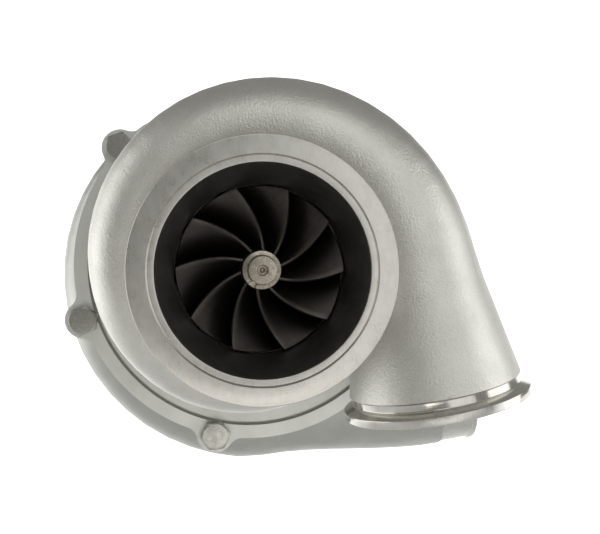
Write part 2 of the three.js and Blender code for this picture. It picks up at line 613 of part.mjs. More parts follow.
// Hub of the turbine wheel, from the outlet side (u = 0) to the back (u = 1).
function turbineHubLine(u, sunk = 0) {
  const t = (u * Math.PI) / 2;
  const r = lerp(TURBINE_TIP_R - TURBINE_HUB_MARGIN, TURBINE_HUB_R, Math.cos(t));
  const y = EXDUCER_Y + (TURBINE_BACK_Y - 1 - EXDUCER_Y) * Math.sin(t);
  return [r - sunk, y + sunk * 0.5];
}

function turbineShroudLine(u) {
  return [lerp(EXDUCER_R, TURBINE_TIP_R, u ** 3), lerp(EXDUCER_Y, TURBINE_TIP_Y, u)];
}

// The outlet edge leans forward towards the tip, and the blade turns on into the wheel.
function turbineTurn(u, v) {
  const edge = TURBINE_EDGE_LEAN * v ** 0.75;
  return lerp(edge, TURBINE_WRAP, 1 - (1 - u) ** 2);
}

function turbineWheel() {
  const hub = steps(0, 1, 5).map((u) => turbineHubLine(u));
  const [backR] = hub[hub.length - 1];
  const body = turned([
    [0, TURBINE_NOSE_Y],
    [TURBINE_NOSE_R, TURBINE_NOSE_Y],
    [TURBINE_NOSE_R, EXDUCER_Y - TURBINE_NOSE_SHOULDER - 2],
    [TURBINE_HUB_R - 0.4, EXDUCER_Y - TURBINE_NOSE_SHOULDER],
    ...hub,
    [backR, TURBINE_BACK_Y],
    [SHAFT_BOSS_R, TURBINE_BACK_Y],
    [SHAFT_BOSS_R, TURBINE_SEAL_Y - SEAL_WIDTH / 2 - SEAL_SIDE_CLEARANCE],
    [SHAFT_BOSS_R - SEAL_DEPTH, TURBINE_SEAL_Y - SEAL_WIDTH / 2 - SEAL_SIDE_CLEARANCE],
    [SHAFT_BOSS_R - SEAL_DEPTH, TURBINE_SEAL_Y + SEAL_WIDTH / 2 + SEAL_SIDE_CLEARANCE],
    [SHAFT_BOSS_R, TURBINE_SEAL_Y + SEAL_WIDTH / 2 + SEAL_SIDE_CLEARANCE],
    [SHAFT_BOSS_R, SHAFT_BOSS_END_Y],
    [0, SHAFT_BOSS_END_Y],
  ], ROUND_SMALL);
  const one = blade(
    (u) => turbineHubLine(u, 0.9), turbineShroudLine, turbineTurn, TURBINE_BLADE_THICK, 4, 2,
  );
  const blades = steps(0, 360, TURBINE_BLADES).slice(0, -1)
    .map((degrees) => one.clone().rotateY(-rad(degrees + TURBINE_BLADE_PHASE)));
  return solid([body, ...blades]);
}

// Hub of the compressor wheel, from the inlet side (u = 0) to the rim (u = 1).
function impellerHubLine(u, sunk = 0) {
  const t = (u * Math.PI) / 2;
  const r = lerp(IMPELLER_R - IMPELLER_DISC_MARGIN, IMPELLER_NOSE_R, Math.cos(t));
  const y = lerp(INDUCER_Y + 2, IMPELLER_BACK_Y + 1.2, Math.sin(t));
  return [r - sunk * (1 - u), y - sunk];
}

function impellerShroudLine(u) {
  const t = (u * Math.PI) / 2;
  const r = INDUCER_R + (IMPELLER_R - INDUCER_R) * (1 - Math.cos(t));
  const y = INDUCER_Y - (INDUCER_Y - IMPELLER_TIP_Y) * Math.sin(t);
  return [r, y];
}

// The inlet edge leads, and the blade falls back against the rotation towards the rim.
function impellerTurn(u, v) {
  return IMPELLER_WRAP * (1 - u) ** 1.6 - IMPELLER_BACKSWEEP * u ** 2 + 6 * (v - 1) * u;
}

function compressorWheel() {
  const hub = steps(0, 1, 5).map((u) => impellerHubLine(u)).reverse();
  const body = turned([
    [STUB_R + FIT_GAP, IMPELLER_BACK_Y - IMPELLER_PAD],
    [COLLAR_R, IMPELLER_BACK_Y - IMPELLER_PAD],
    [COLLAR_R + 1, IMPELLER_BACK_Y],
    [IMPELLER_R - IMPELLER_DISC_MARGIN, IMPELLER_BACK_Y],
    ...hub,
    [IMPELLER_NOSE_R - 0.3, IMPELLER_NOSE_Y],
    [STUB_R + FIT_GAP, IMPELLER_NOSE_Y],
  ]);
  const hubLine = (u) => impellerHubLine(u, 0.8);
  const main = blade(impellerShroudLine, hubLine, (u, v) => impellerTurn(u, 1 - v),
    IMPELLER_BLADE_THICK, 4, 2);
  const splitter = blade(impellerShroudLine, hubLine, (u, v) => impellerTurn(u, 1 - v),
    IMPELLER_BLADE_THICK, 3, 2, SPLITTER_START);
  const pitch = 360 / COMPRESSOR_BLADES;
  const blades = steps(0, 360, COMPRESSOR_BLADES).slice(0, -1).flatMap((degrees) => [
    main.clone().rotateY(-rad(degrees)),
    splitter.clone().rotateY(-rad(degrees + pitch / 2)),
  ]);
  return solid([body, ...blades]);
}

// ---------------------------------------------------------------- shaft and bearings

function rotorShaft() {
  return turned([
    [0, SHAFT_BOSS_END_Y],
    [SHAFT_R, SHAFT_BOSS_END_Y],
    [SHAFT_R, STUB_START_Y],
    [STUB_R, STUB_START_Y],
    [STUB_R, SHAFT_END_Y],
    [0, SHAFT_END_Y],
  ], ROUND_SMALL);
}

// Half the width of a raceway groove where it meets its shoulder.
const racewayHalf = (shoulder) => Math.sqrt(RACEWAY_R ** 2 - (BALL_PITCH_R - shoulder) ** 2);

const rowY = {
  turbine: CARTRIDGE_START_Y + RACE_INSET,
  compressor: CARTRIDGE_END_Y - RACE_INSET,
};

// Groove points from one shoulder round to the other; side is 1 for the outer race and
// -1 for the inner race.
function groove(y, shoulder, side, count = 4) {
  const end = Math.asin(racewayHalf(shoulder) / RACEWAY_R);
  return steps(-end, end, count).map((t) => [
    BALL_PITCH_R + side * RACEWAY_R * Math.cos(t), y + RACEWAY_R * Math.sin(t),
  ]);
}

function outerRace() {
  const outerR = CARTRIDGE_R - FIT_GAP / 2;
  const bore = [
    ...groove(rowY.turbine, OUTER_SHOULDER_R, 1),
    ...groove(rowY.compressor, OUTER_SHOULDER_R, 1),
  ].reverse();
  const body = turned([
    [OUTER_SHOULDER_R, CARTRIDGE_START_Y],
    [outerR, CARTRIDGE_START_Y],
    [outerR, CARTRIDGE_END_Y],
    [OUTER_SHOULDER_R, CARTRIDGE_END_Y],
    ...bore,
  ], ROUND_SMALL);
  const length = CARTRIDGE_R - OUTER_SHOULDER_R + 2;
  const hole = ring(0, M5.shank + HOLE_CLEARANCE, 0, length, ROUND_SHANK);
  const start = polar(OUTER_SHOULDER_R - 1, LOCATOR_ANGLE, LOCATOR_Y);
  return solid([body], [along(hole, start, polar(1, LOCATOR_ANGLE, 0))]);
}

// The inner race reaches past its groove towards the middle of the cartridge.
function innerRace(y, towards) {
  const near = y - towards * (RACE_INSET - FIT_GAP);
  const far = near + towards * INNER_RACE_WIDTH;
  const low = Math.min(near, far);
  const high = Math.max(near, far);
  return turned([
    [SHAFT_R + FIT_GAP / 2, low],
    [INNER_SHOULDER_R, low],
    ...groove(y, INNER_SHOULDER_R, -1),
    [INNER_SHOULDER_R, high],
    [SHAFT_R + FIT_GAP / 2, high],
  ], ROUND_SMALL);
}

const ballAngles = steps(0, 360, BALLS_PER_ROW).slice(0, -1);

function cage(y) {
  const body = ring(CAGE_INNER_R, CAGE_OUTER_R, y - CAGE_WIDTH / 2, y + CAGE_WIDTH / 2, ROUND_SMALL);
  const pocket = ring(0, CAGE_POCKET_R, 0, CAGE_OUTER_R, ROUND_SHANK);
  const pockets = ballAngles.map((degrees) => along(
    pocket, polar(CAGE_INNER_R - 2, degrees, y), polar(1, degrees, 0),
  ));
  return solid([body], pockets);
}

const ballGeometry = welded(new THREE.IcosahedronGeometry(BALL_R, 1));

// A split sealing ring: a flat ring with a gap, lying round the shaft.
function sealRing(inner, outer, y) {
  const gap = rad(SEAL_GAP) / 2;
  const shape = new THREE.Shape();
  shape.absarc(0, 0, outer, gap, 2 * Math.PI - gap, false);
  shape.absarc(0, 0, inner, 2 * Math.PI - gap, gap, true);
  return welded(slab(shape, y - SEAL_WIDTH / 2, SEAL_WIDTH, ROUND_SMALL - 2));
}

function collar() {
  const low = COMPRESSOR_SEAL_Y - SEAL_WIDTH / 2 - SEAL_SIDE_CLEARANCE;
  const high = COMPRESSOR_SEAL_Y + SEAL_WIDTH / 2 + SEAL_SIDE_CLEARANCE;
  return turned([
    [STUB_R + FIT_GAP, STUB_START_Y],
    [INNER_SHOULDER_R, STUB_START_Y],
    [INNER_SHOULDER_R, STUB_START_Y + 1.5],
    [COLLAR_R + THROWER_STEP, STUB_START_Y + 2.5],
    [COLLAR_R + THROWER_STEP, STUB_START_Y + 4],
    [COLLAR_R, STUB_START_Y + 4],
    [COLLAR_R, low],
    [COLLAR_R - SEAL_DEPTH, low],
    [COLLAR_R - SEAL_DEPTH, high],
    [COLLAR_R, high],
    [COLLAR_R, COLLAR_END_Y],
    [STUB_R + FIT_GAP, COLLAR_END_Y],
  ], ROUND_SMALL);
}

// ---------------------------------------------------------------- centre housing

function heatShield() {
  const front = SHIELD_FRONT_Y + FIT_GAP;
  const back = SPIGOT_Y - FIT_GAP;
  return turned([
    [SHAFT_BOSS_R + 1, front],
    [SHIELD_R, front],
    [SHIELD_R, back],
    [SHIELD_R - SHIELD_THICK, back],
    [SHIELD_R - SHIELD_THICK, front + SHIELD_THICK],
    [SHAFT_BOSS_R + 1, front + SHIELD_THICK],
  ]);
}

function centreHousing() {
  const flangeBack = REAR_FACE_Y - FIT_GAP;
  const body = turned([
    [0, SPIGOT_Y],
    [SPIGOT_R, SPIGOT_Y],
    [SPIGOT_R, flangeBack],
    [SPIGOT_R - SPIGOT_RIM, flangeBack],
    [BODY_R, flangeBack + BODY_TAPER],
    [BODY_R, BODY_BACK_Y],
    [MATE_FLANGE_R, BODY_BACK_Y],
    [MATE_FLANGE_R, MATE_Y],
    [0, MATE_Y],
  ]);
  const up = new THREE.Vector3(0, 0, 1);
  const down = new THREE.Vector3(0, 0, -1);
  const oilIn = along(ring(0, OIL_IN_PAD, 0, OIL_IN_HEIGHT, ROUND_SMALL),
    new THREE.Vector3(0, OIL_IN_Y, 0), up);
  const oilInHole = along(ring(0, OIL_IN_HOLE_R, 0, OIL_IN_HEIGHT + 1, ROUND_SHANK),
    new THREE.Vector3(0, OIL_IN_Y, 0), up);
  const drainNeck = along(ring(0, OIL_OUT_HOLE_R + OIL_OUT_WALL, 0, OIL_OUT_HEIGHT - 1, ROUND_SMALL),
    new THREE.Vector3(0, OIL_OUT_Y, 0), down);
  const drainPad = new THREE.BoxGeometry(OIL_OUT_LENGTH, OIL_OUT_WIDTH, OIL_OUT_THICK)
    .translate(0, OIL_OUT_Y, OIL_OUT_THICK / 2 - OIL_OUT_HEIGHT);
  const drainHole = along(ring(0, OIL_OUT_HOLE_R, 0, OIL_OUT_HEIGHT + 1, ROUND_SMALL),
    new THREE.Vector3(0, OIL_OUT_Y, 0), down);
  const studs = [-1, 1].map((side) => along(
    ring(0, OIL_OUT_STUD_R, 0, OIL_OUT_THICK + 2, ROUND_SHANK),
    new THREE.Vector3((side * OIL_OUT_STUD_SPACING) / 2, OIL_OUT_Y, OIL_OUT_THICK + 1 - OIL_OUT_HEIGHT),
    down,
  ));
  const waterBosses = [0, 180].map((degrees) => along(
    ring(0, WATER_BOSS_R, 0, WATER_REACH, ROUND_SMALL),
    new THREE.Vector3(0, WATER_Y, 0), polar(1, degrees, 0),
  ));
  const waterHoles = [0, 180].map((degrees) => along(
    ring(0, WATER_HOLE_R, 0, WATER_DEPTH + 1, ROUND_SHANK),
    polar(WATER_REACH - WATER_DEPTH, degrees, WATER_Y), polar(1, degrees, 0),
  ));
  const outwards = polar(1, LOCATOR_ANGLE, 0);
  const locatorBoss = along(ring(0, hexR(M5.flats) + 1, 0, LOCATOR_SEAT_R, ROUND_SHANK),
    new THREE.Vector3(0, LOCATOR_Y, 0), outwards);
  const locatorHole = along(ring(0, M5.shank + THREAD_CLEARANCE, 0, LOCATOR_SEAT_R + 1, ROUND_SHANK),
    new THREE.Vector3(0, LOCATOR_Y, 0), outwards);
  const throwerR = COLLAR_R + THROWER_STEP + THROWER_SPACE;
  const bore = turned([
    [0, SPIGOT_Y - 1],
    [SHAFT_BOSS_R + SEAL_FIT, SPIGOT_Y - 1],
    [SHAFT_BOSS_R + SEAL_FIT, SHAFT_BOSS_END_Y + 0.3],
    [CARTRIDGE_R + FIT_GAP, SHAFT_BOSS_END_Y + 0.3],
    [CARTRIDGE_R + FIT_GAP, CARTRIDGE_END_Y + FIT_GAP],
    [throwerR, CARTRIDGE_END_Y + FIT_GAP],
    [throwerR, MATE_Y + 1],
    [0, MATE_Y + 1],
  ], ROUND_SMALL);
  const screwHole = ring(0, M5.shank + HOLE_CLEARANCE, BODY_BACK_Y - 1, MATE_Y + 1, ROUND_SHANK);
  return solid(
    [body, oilIn, drainNeck, drainPad, ...waterBosses, locatorBoss],
    [bore, oilInHole, drainHole, ...studs, ...waterHoles, locatorHole,
      ...spread(screwHole, MATE_SCREW_R, mateScrewAngles)],
  );
}

const mateScrewAngles = steps(0, 360, MATE_SCREWS).slice(0, -1).map((degrees) => degrees + 45);

// One of the arc plates that hold the centre housing's flange in the turbine housing.
function clampPlate(middle) {
  const inner = SPIGOT_R - CLAMP_PLATE_GRIP;
  const from = rad(middle - CLAMP_PLATE_SWEEP / 2);
  const to = rad(middle + CLAMP_PLATE_SWEEP / 2);
  const shape = new THREE.Shape();
  shape.absarc(0, 0, REAR_RING_R - CLAMP_PLATE_INSET, from, to, false);
  shape.absarc(0, 0, inner, to, from, true);
  for (const degrees of [middle - CLAMP_BOLT_SPREAD, middle + CLAMP_BOLT_SPREAD]) {
    const at = polar(CLAMP_BOLT_R, degrees, 0);
    const hole = new THREE.Path();
    hole.absarc(at.x, at.z, M6.shank + HOLE_CLEARANCE, 0, 2 * Math.PI, true);
    shape.holes.push(hole);
  }
  return welded(slab(shape, REAR_FACE_Y, CLAMP_PLATE_THICK));
}

// ---------------------------------------------------------------- compressor backplate

// A round rim with bolt ears, each blended into the rim by a hollow fillet on both sides.
function earedOutline(rimR, earR) {
  const shape = new THREE.Shape();
  const reach = rimR + EAR_BLEND_R;
  const apart = earR + EAR_BLEND_R;
  const lean = Math.acos((reach ** 2 + EAR_BOLT_R ** 2 - apart ** 2) / (2 * reach * EAR_BOLT_R));
  for (const degrees of earAngles) {
    const ear = rad(degrees);
    const ex = EAR_BOLT_R * Math.cos(ear);
    const ez = EAR_BOLT_R * Math.sin(ear);
    const before = ear - lean;
    const after = ear + lean;
    const ax = reach * Math.cos(before);
    const az = reach * Math.sin(before);
    const bx = reach * Math.cos(after);
    const bz = reach * Math.sin(after);
    const earFrom = Math.atan2(az - ez, ax - ex);
    const earTo = Math.atan2(bz - ez, bx - ex);
    shape.absarc(ax, az, EAR_BLEND_R, before + Math.PI, earFrom + Math.PI, true);
    shape.absarc(ex, ez, earR, earFrom, earTo, false);
    shape.absarc(bx, bz, EAR_BLEND_R, earTo + Math.PI, after + Math.PI, true);
    shape.absarc(0, 0, rimR, after, rad(degrees + 360 / EARS) - lean, false);
  }
  return shape;
}

const earAngles = steps(0, 360, EARS).slice(0, -1).map((degrees) => degrees + EAR_PHASE);

function backplate() {
  const rim = slab(earedOutline(PLATE_R, EAR_R), MATE_Y, PLATE_RIM_THICK, 4);
  const pilot = ring(0, PILOT_R, MATE_Y + 1, DIFFUSER_Y);
  const bore = ring(0, COLLAR_R + SEAL_FIT, MATE_Y - 1, DIFFUSER_Y + 1, ROUND_SMALL);
  const recess = ring(0, WHEEL_RECESS_R, DIFFUSER_Y - WHEEL_RECESS_DEPTH, DIFFUSER_Y + 1);
  const coverGroove = ring(COVER_ORING_R - ORING_GROOVE_WIDTH / 2, COVER_ORING_R + ORING_GROOVE_WIDTH / 2,
    COVER_FACE_Y - ORING_GROOVE_DEPTH, COVER_FACE_Y + 1);
  const mateGroove = ring(MATE_ORING_R - ORING_GROOVE_WIDTH / 2, MATE_ORING_R + ORING_GROOVE_WIDTH / 2,
    MATE_Y - 1, MATE_Y + ORING_GROOVE_DEPTH);
  const boltHole = ring(0, M8.shank + HOLE_CLEARANCE, MATE_Y - 1, COVER_FACE_Y + 1, ROUND_SHANK);
  const screwEnd = MATE_Y + MATE_SCREW_BITE + HOLE_DEPTH_SPARE;
  const screwHole = ring(0, M5.shank + THREAD_CLEARANCE, MATE_Y - 1, screwEnd, ROUND_SHANK);
  return solid(
    [rim, pilot],
    [bore, recess, coverGroove, mateGroove,
      ...spread(boltHole, EAR_BOLT_R, earAngles),
      ...spread(screwHole, MATE_SCREW_R, mateScrewAngles)],
  );
}

function oRing(r, y) {
  const profile = steps(0, 2 * Math.PI, 6).slice(0, -1)
    .map((t) => [r + ORING_R * Math.cos(t), y + ORING_R * Math.sin(t)]);
  return turned(profile);
}

// ---------------------------------------------------------------- compressor housing

function coverBodyProfile() {
  const beadStart = AIR_IN_END_Y - AIR_IN_BEAD_WIDTH;
  return [
    [0, COVER_FACE_Y],
    [VOLUTE_INNER_R + 9, COVER_FACE_Y],
    [VOLUTE_INNER_R + 9, VOLUTE_FRONT_Y + 9],
    [AIR_IN_R + 2, INDUCER_Y + 4],
    [AIR_IN_R, INDUCER_Y + 12],
    [AIR_IN_R, beadStart],
    [AIR_IN_R + AIR_IN_BEAD, beadStart + 1],
    [AIR_IN_R + AIR_IN_BEAD, AIR_IN_END_Y - 0.8],
    [AIR_IN_R, AIR_IN_END_Y],
    [0, AIR_IN_END_Y],
  ];
}

// Pilot bore, diffuser wall, wheel shroud and inlet bore, as one space.
function coverPassageProfile() {
  const shroud = steps(1, 0, 4).map((u) => {
    const [r, y] = impellerShroudLine(u);
    return [r + IMPELLER_CLEARANCE * (0.4 + 0.6 * (1 - u)), y + IMPELLER_CLEARANCE * u];
  });
  return [
    [0, COVER_FACE_Y - 1],
    [PILOT_R + PILOT_GAP, COVER_FACE_Y - 1],
    [PILOT_R + PILOT_GAP, DIFFUSER_Y + FIT_GAP],
    [VOLUTE_INNER_R - 1, DIFFUSER_Y + FIT_GAP],
    [VOLUTE_INNER_R - 1, DIFFUSER_WALL_Y],
    [WHEEL_RECESS_R, DIFFUSER_WALL_Y],
    ...shroud,
    [INDUCER_R + IMPELLER_CLEARANCE, INDUCER_Y + 6],
    [AIR_IN_BORE_R, INDUCER_Y + 26],
    [AIR_IN_BORE_R, AIR_IN_END_Y + 1],
    [0, AIR_IN_END_Y + 1],
  ];
}

// The outlet duct leaves the volute at a tangent; its end lies so far back that it clears
// the backplate whatever its radius.
const airOutStart = polar(VOLUTE_INNER_R + VOLUTE_END_A, VOLUTE_END, VOLUTE_FRONT_Y + VOLUTE_END_A);
const airOutSpan = new THREE.Vector3(
  AIR_OUT_REACH,
  COVER_FACE_Y - AIR_OUT_OVERHANG + AIR_OUT_CAST_R - airOutStart.y,
  AIR_OUT_REACH * Math.tan(rad(AIR_OUT_TILT)),
);
const airOutLength = airOutSpan.length();
const airOutDirection = airOutSpan.clone().normalize();

// A point on the outlet duct's axis, at a distance from where it leaves the volute.
function airOutAt(distance) {
  return airOutStart.clone().addScaledVector(airOutDirection, distance);
}

function compressorHousing() {
  const outer = scrollThrough(steps(VOLUTE_START, VOLUTE_END, 17).map((degrees) => {
    const { c, y, a } = compressorSection(degrees);
    return { degrees, points: roundSection(c, y, a) };
  }));
  const slotR = VOLUTE_INNER_R - 2;
  const lips = [
    [slotR, DIFFUSER_WALL_Y],
    [slotR, DIFFUSER_Y + FIT_GAP],
    [PILOT_R + 1.5, DIFFUSER_Y + FIT_GAP],
  ];
  const inner = scrollThrough(steps(VOLUTE_START, VOLUTE_END, 12).map((degrees) => {
    const { c, y, a } = compressorSection(degrees);
    return { degrees, points: slotSection(c, y, a - VOLUTE_WALL, -120, 200, lips) };
  }));
  const castEnd = airOutLength - AIR_OUT_PIPE;
  const ductStation = (distance, radius) => ({
    centre: airOutAt(distance), radius, forward: airOutDirection,
  });
  const ductWall = tubeThrough([
    ductStation(-2, VOLUTE_END_A), ductStation(0, VOLUTE_END_A), ductStation(castEnd, AIR_OUT_CAST_R),
  ]);
  const boreR = AIR_OUT_R - AIR_OUT_WALL;
  const ductBore = tubeThrough([
    ductStation(-DUCT_LEAD_IN, VOLUTE_END_A - VOLUTE_WALL - DUCT_LEAD_STEP),
    ductStation(0, VOLUTE_END_A - VOLUTE_WALL),
    ductStation(castEnd, boreR), ductStation(airOutLength + 1, boreR),
  ]);
  const pipe = along(turned([
    [0, -2],
    [AIR_OUT_R, -2],
    [AIR_OUT_R, AIR_OUT_PIPE - AIR_OUT_BEAD_WIDTH],
    [AIR_OUT_R + AIR_OUT_BEAD, AIR_OUT_PIPE - AIR_OUT_BEAD_WIDTH + 1],
    [AIR_OUT_R + AIR_OUT_BEAD, AIR_OUT_PIPE - 0.8],
    [AIR_OUT_R, AIR_OUT_PIPE],
    [0, AIR_OUT_PIPE],
  ]), airOutAt(castEnd), airOutDirection);
  const flange = slab(earedOutline(PLATE_R, EAR_R), COVER_FACE_Y, COVER_EAR_END_Y - COVER_FACE_Y, 4);
  const holeEnd = COVER_FACE_Y + COVER_SCREW_BITE + HOLE_DEPTH_SPARE;
  const hole = ring(0, M8.shank + THREAD_CLEARANCE, COVER_FACE_Y - 1, holeEnd, ROUND_SHANK);
  return solid(
    [outer, turned(coverBodyProfile()), ductWall, pipe, flange],
    [turned(coverPassageProfile()), inner, ductBore, ...spread(hole, EAR_BOLT_R, earAngles)],
  );
}

// ---------------------------------------------------------------- fasteners

// A hexagon-head screw along Y: its seat is the plane y = 0 and its shank points to +Y.
function hexScrew({ shank, flats, head }, length) {
  const top = turned([[0, -head], [hexR(flats), -head], [hexR(flats), 0], [0, 0]], 6);
  const stem = ring(0, shank, -head / 2, length, ROUND_SHANK);
  return solid([top, stem]);
}

function rotorNut() {
  const hex = turned([
    [0, IMPELLER_NOSE_Y],
    [hexR(NUT.flats), IMPELLER_NOSE_Y],
    [hexR(NUT.flats), IMPELLER_NOSE_Y + NUT.height],
    [0, IMPELLER_NOSE_Y + NUT.height],
  ], 6);
  const bore = ring(0, STUB_R + FIT_GAP, IMPELLER_NOSE_Y - 1, IMPELLER_NOSE_Y + NUT.height + 1, ROUND_SMALL);
  return solid([hex], [bore]);
}

// ---------------------------------------------------------------- finishes

const finish = (color, roughness, metalness) => new THREE.MeshStandardMaterial({
  color, roughness, metalness,
});
const castStainless = finish(0xb4b3ae, 0.42, 0.9);
const darkAlloy = finish(0x2e2a28, 0.55, 0.8);
const castAluminium = finish(0xb9bbb8, 0.45, 0.85);
const billetAluminium = finish(0xd5d7d8, 0.3, 0.95);
const castIron = finish(0x7d7c78, 0.6, 0.7);
const groundSteel = finish(0xc9cac9, 0.2, 1.0);
const zincSteel = finish(0xa9aaa7, 0.4, 0.9);
const sheetStainless = finish(0xa39a8c, 0.4, 0.9);
const cageResin = finish(0x4a3b2b, 0.7, 0.0);
const sealRubber = finish(0x1c1c1c, 0.8, 0.0);

// ---------------------------------------------------------------- assembly

const turbo = new THREE.Group();
const assembly = new THREE.Group();
assembly.position.copy(INLET_CENTRE).negate();
turbo.add(assembly);

function place(name, geometry, material, position = new THREE.Vector3(), direction = null) {
  const mesh = new THREE.Mesh(geometry, material);
  mesh.name = name;
  mesh.position.copy(position);
  if (direction) mesh.quaternion.setFromUnitVectors(new THREE.Vector3(0, 1, 0), direction);
  assembly.add(mesh);
  return mesh;
}

place('turbine_housing', turbineHousing(), castStainless);
place('turbine_wheel', turbineWheel(), darkAlloy);
place('rotor_shaft', rotorShaft(), groundSteel);
place('turbine_seal_ring', sealRing(
  SHAFT_BOSS_R - SEAL_DEPTH + SEAL_SPRING, SHAFT_BOSS_R + SEAL_SPRING / 2, TURBINE_SEAL_Y,
), groundSteel);
place('heat_shield', heatShield(), sheetStainless);
place('centre_housing', centreHousing(), castIron);
place('bearing_outer_race', outerRace(), groundSteel);

for (const [side, towards] of [['turbine', 1], ['compressor', -1]]) {
  const y = rowY[side];
  place(`bearing_inner_race_${side}`, innerRace(y, towards), groundSteel);
  place(`bearing_cage_${side}`, cage(y), cageResin);
  ballAngles.forEach((degrees, i) => {
    place(`bearing_ball_${side}_${i + 1}`, ballGeometry, groundSteel, polar(BALL_PITCH_R, degrees, y));
  });
}

place('bearing_locating_screw', hexScrew(M5, LOCATOR_SEAT_R - LOCATOR_TIP_R), zincSteel,
  polar(LOCATOR_SEAT_R + FIT_GAP, LOCATOR_ANGLE, LOCATOR_Y), polar(-1, LOCATOR_ANGLE, 0));
place('oil_collar', collar(), groundSteel);
place('compressor_seal_ring', sealRing(
  COLLAR_R - SEAL_DEPTH + SEAL_SPRING, COLLAR_R + SEAL_SPRING / 2, COMPRESSOR_SEAL_Y,
), groundSteel);
place('compressor_backplate', backplate(), castAluminium);
place('backplate_o_ring', oRing(MATE_ORING_R, MATE_Y + ORING_GROOVE_DEPTH / 2), sealRubber);
place('cover_o_ring', oRing(COVER_ORING_R, COVER_FACE_Y - ORING_GROOVE_DEPTH / 2), sealRubber);
place('compressor_wheel', compressorWheel(), billetAluminium);
place('rotor_nut', rotorNut(), zincSteel);
place('compressor_housing', compressorHousing(), castAluminium);

const coverBolt = hexScrew(M8, COVER_SCREW_LENGTH);
earAngles.forEach((degrees, i) => {
  place(`cover_bolt_${i + 1}`, coverBolt, zincSteel, polar(EAR_BOLT_R, degrees, MATE_Y));
});

const mateScrew = hexScrew(M5, MATE_SCREW_LENGTH);
mateScrewAngles.forEach((degrees, i) => {
  place(`backplate_screw_${i + 1}`, mateScrew, zincSteel, polar(MATE_SCREW_R, degrees, BODY_BACK_Y));
});

plateAngles.forEach((degrees, i) => {
  place(`clamp_plate_${i + 1}`, clampPlate(degrees), sheetStainless);
});
const clampBolt = hexScrew(M6, CLAMP_SCREW_LENGTH);
clampBoltAngles.forEach((degrees, i) => {
  place(`clamp_bolt_${i + 1}`, clampBolt, zincSteel,
    polar(CLAMP_BOLT_R, degrees, REAR_FACE_Y + CLAMP_PLATE_THICK), new THREE.Vector3(0, -1, 0));
});

export default turbo;
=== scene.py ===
"""Turbocharger: the visual model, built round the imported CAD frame.

Places are given in millimetres in the shaft frame: the shaft is the Y axis, the turbine
outlet face is the plane y = 0, and Z is up. here() turns them into the frame's metres.
"""
import json
import math

import bmesh
import bpy
from bpy.props import FloatProperty, FloatVectorProperty, IntProperty, PointerProperty
from mathutils import Matrix, Vector


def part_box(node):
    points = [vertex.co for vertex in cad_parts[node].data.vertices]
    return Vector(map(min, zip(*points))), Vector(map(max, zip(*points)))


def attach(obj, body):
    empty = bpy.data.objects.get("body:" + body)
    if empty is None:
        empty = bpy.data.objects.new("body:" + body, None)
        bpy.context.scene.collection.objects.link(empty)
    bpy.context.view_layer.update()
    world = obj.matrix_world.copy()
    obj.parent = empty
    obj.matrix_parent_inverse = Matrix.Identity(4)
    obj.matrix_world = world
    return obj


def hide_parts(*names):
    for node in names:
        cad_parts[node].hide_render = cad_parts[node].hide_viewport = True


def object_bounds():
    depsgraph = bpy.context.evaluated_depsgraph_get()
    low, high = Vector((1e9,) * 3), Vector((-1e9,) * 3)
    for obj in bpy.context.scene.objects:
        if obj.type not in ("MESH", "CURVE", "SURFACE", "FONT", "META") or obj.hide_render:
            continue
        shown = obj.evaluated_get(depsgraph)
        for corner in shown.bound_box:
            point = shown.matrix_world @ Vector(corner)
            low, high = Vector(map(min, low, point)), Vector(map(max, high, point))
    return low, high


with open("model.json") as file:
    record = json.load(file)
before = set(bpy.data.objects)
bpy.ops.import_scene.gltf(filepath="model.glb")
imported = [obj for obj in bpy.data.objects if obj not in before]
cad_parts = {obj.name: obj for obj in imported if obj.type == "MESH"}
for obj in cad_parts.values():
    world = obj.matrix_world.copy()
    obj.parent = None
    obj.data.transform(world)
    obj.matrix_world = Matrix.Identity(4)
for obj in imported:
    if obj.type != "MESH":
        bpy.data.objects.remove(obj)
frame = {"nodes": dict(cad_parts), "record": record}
cad_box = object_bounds()

bl_info = {
    "name": "Turbocharger pieces",
    "version": (1, 0, 0),
    "blender": (4, 5, 0),
    "location": "View3D > Sidebar > Turbo",
    "description": "Models the pieces of a turbocharger round its packed frame",
    "category": "Object",
}

MM = 0.001


def node_box(name):
    """A CAD node's lowest and highest corners, in millimetres in the frame."""
    low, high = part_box(name)
    return low / MM, high / MM


_shaft_low, _shaft_high = node_box("rotor_shaft")
_housing_low = node_box("turbine_housing")[0]
SHAFT = Vector((
    (_shaft_low.x + _shaft_high.x) / 2, _housing_low.y, (_shaft_low.z + _shaft_high.z) / 2,
))


def span_y(name):
    """Where a CAD node starts and ends along the shaft, in the shaft frame."""
    low, high = node_box(name)
    return low.y - SHAFT.y, high.y - SHAFT.y


def here(x, y, z):
    """A point of the shaft frame in the frame's metres."""
    return (Vector((x, y, z)) + SHAFT) * MM


def polar(radius, degrees, y):
    """A point at a radius and an angle round the shaft, from +X towards +Z."""
    turn = math.radians(degrees)
    return Vector((radius * math.cos(turn), y, radius * math.sin(turn)))


def steps(first, last, count):
    """Evenly spaced values from first to last, both included."""
    return [first + (last - first) * i / count for i in range(count + 1)]


def lerp(a, b, t):
    """The value a share t of the way from a to b."""
    return a + (b - a) * t


# ---- modelling by hand

def alone(piece):
    """Selects one object and nothing else, in object mode."""
    if bpy.context.object and bpy.context.object.mode != "OBJECT":
        bpy.ops.object.mode_set(mode="OBJECT")
    bpy.ops.object.select_all(action="DESELECT")
    if piece:
        piece.select_set(True)
        bpy.context.view_layer.objects.active = piece


def settle(piece, name):
    """Names a piece and puts its place into its mesh."""
    alone(piece)
    bpy.ops.object.transform_apply(location=True, rotation=True, scale=True)
    piece.name = name
    piece.data.name = name
    return piece


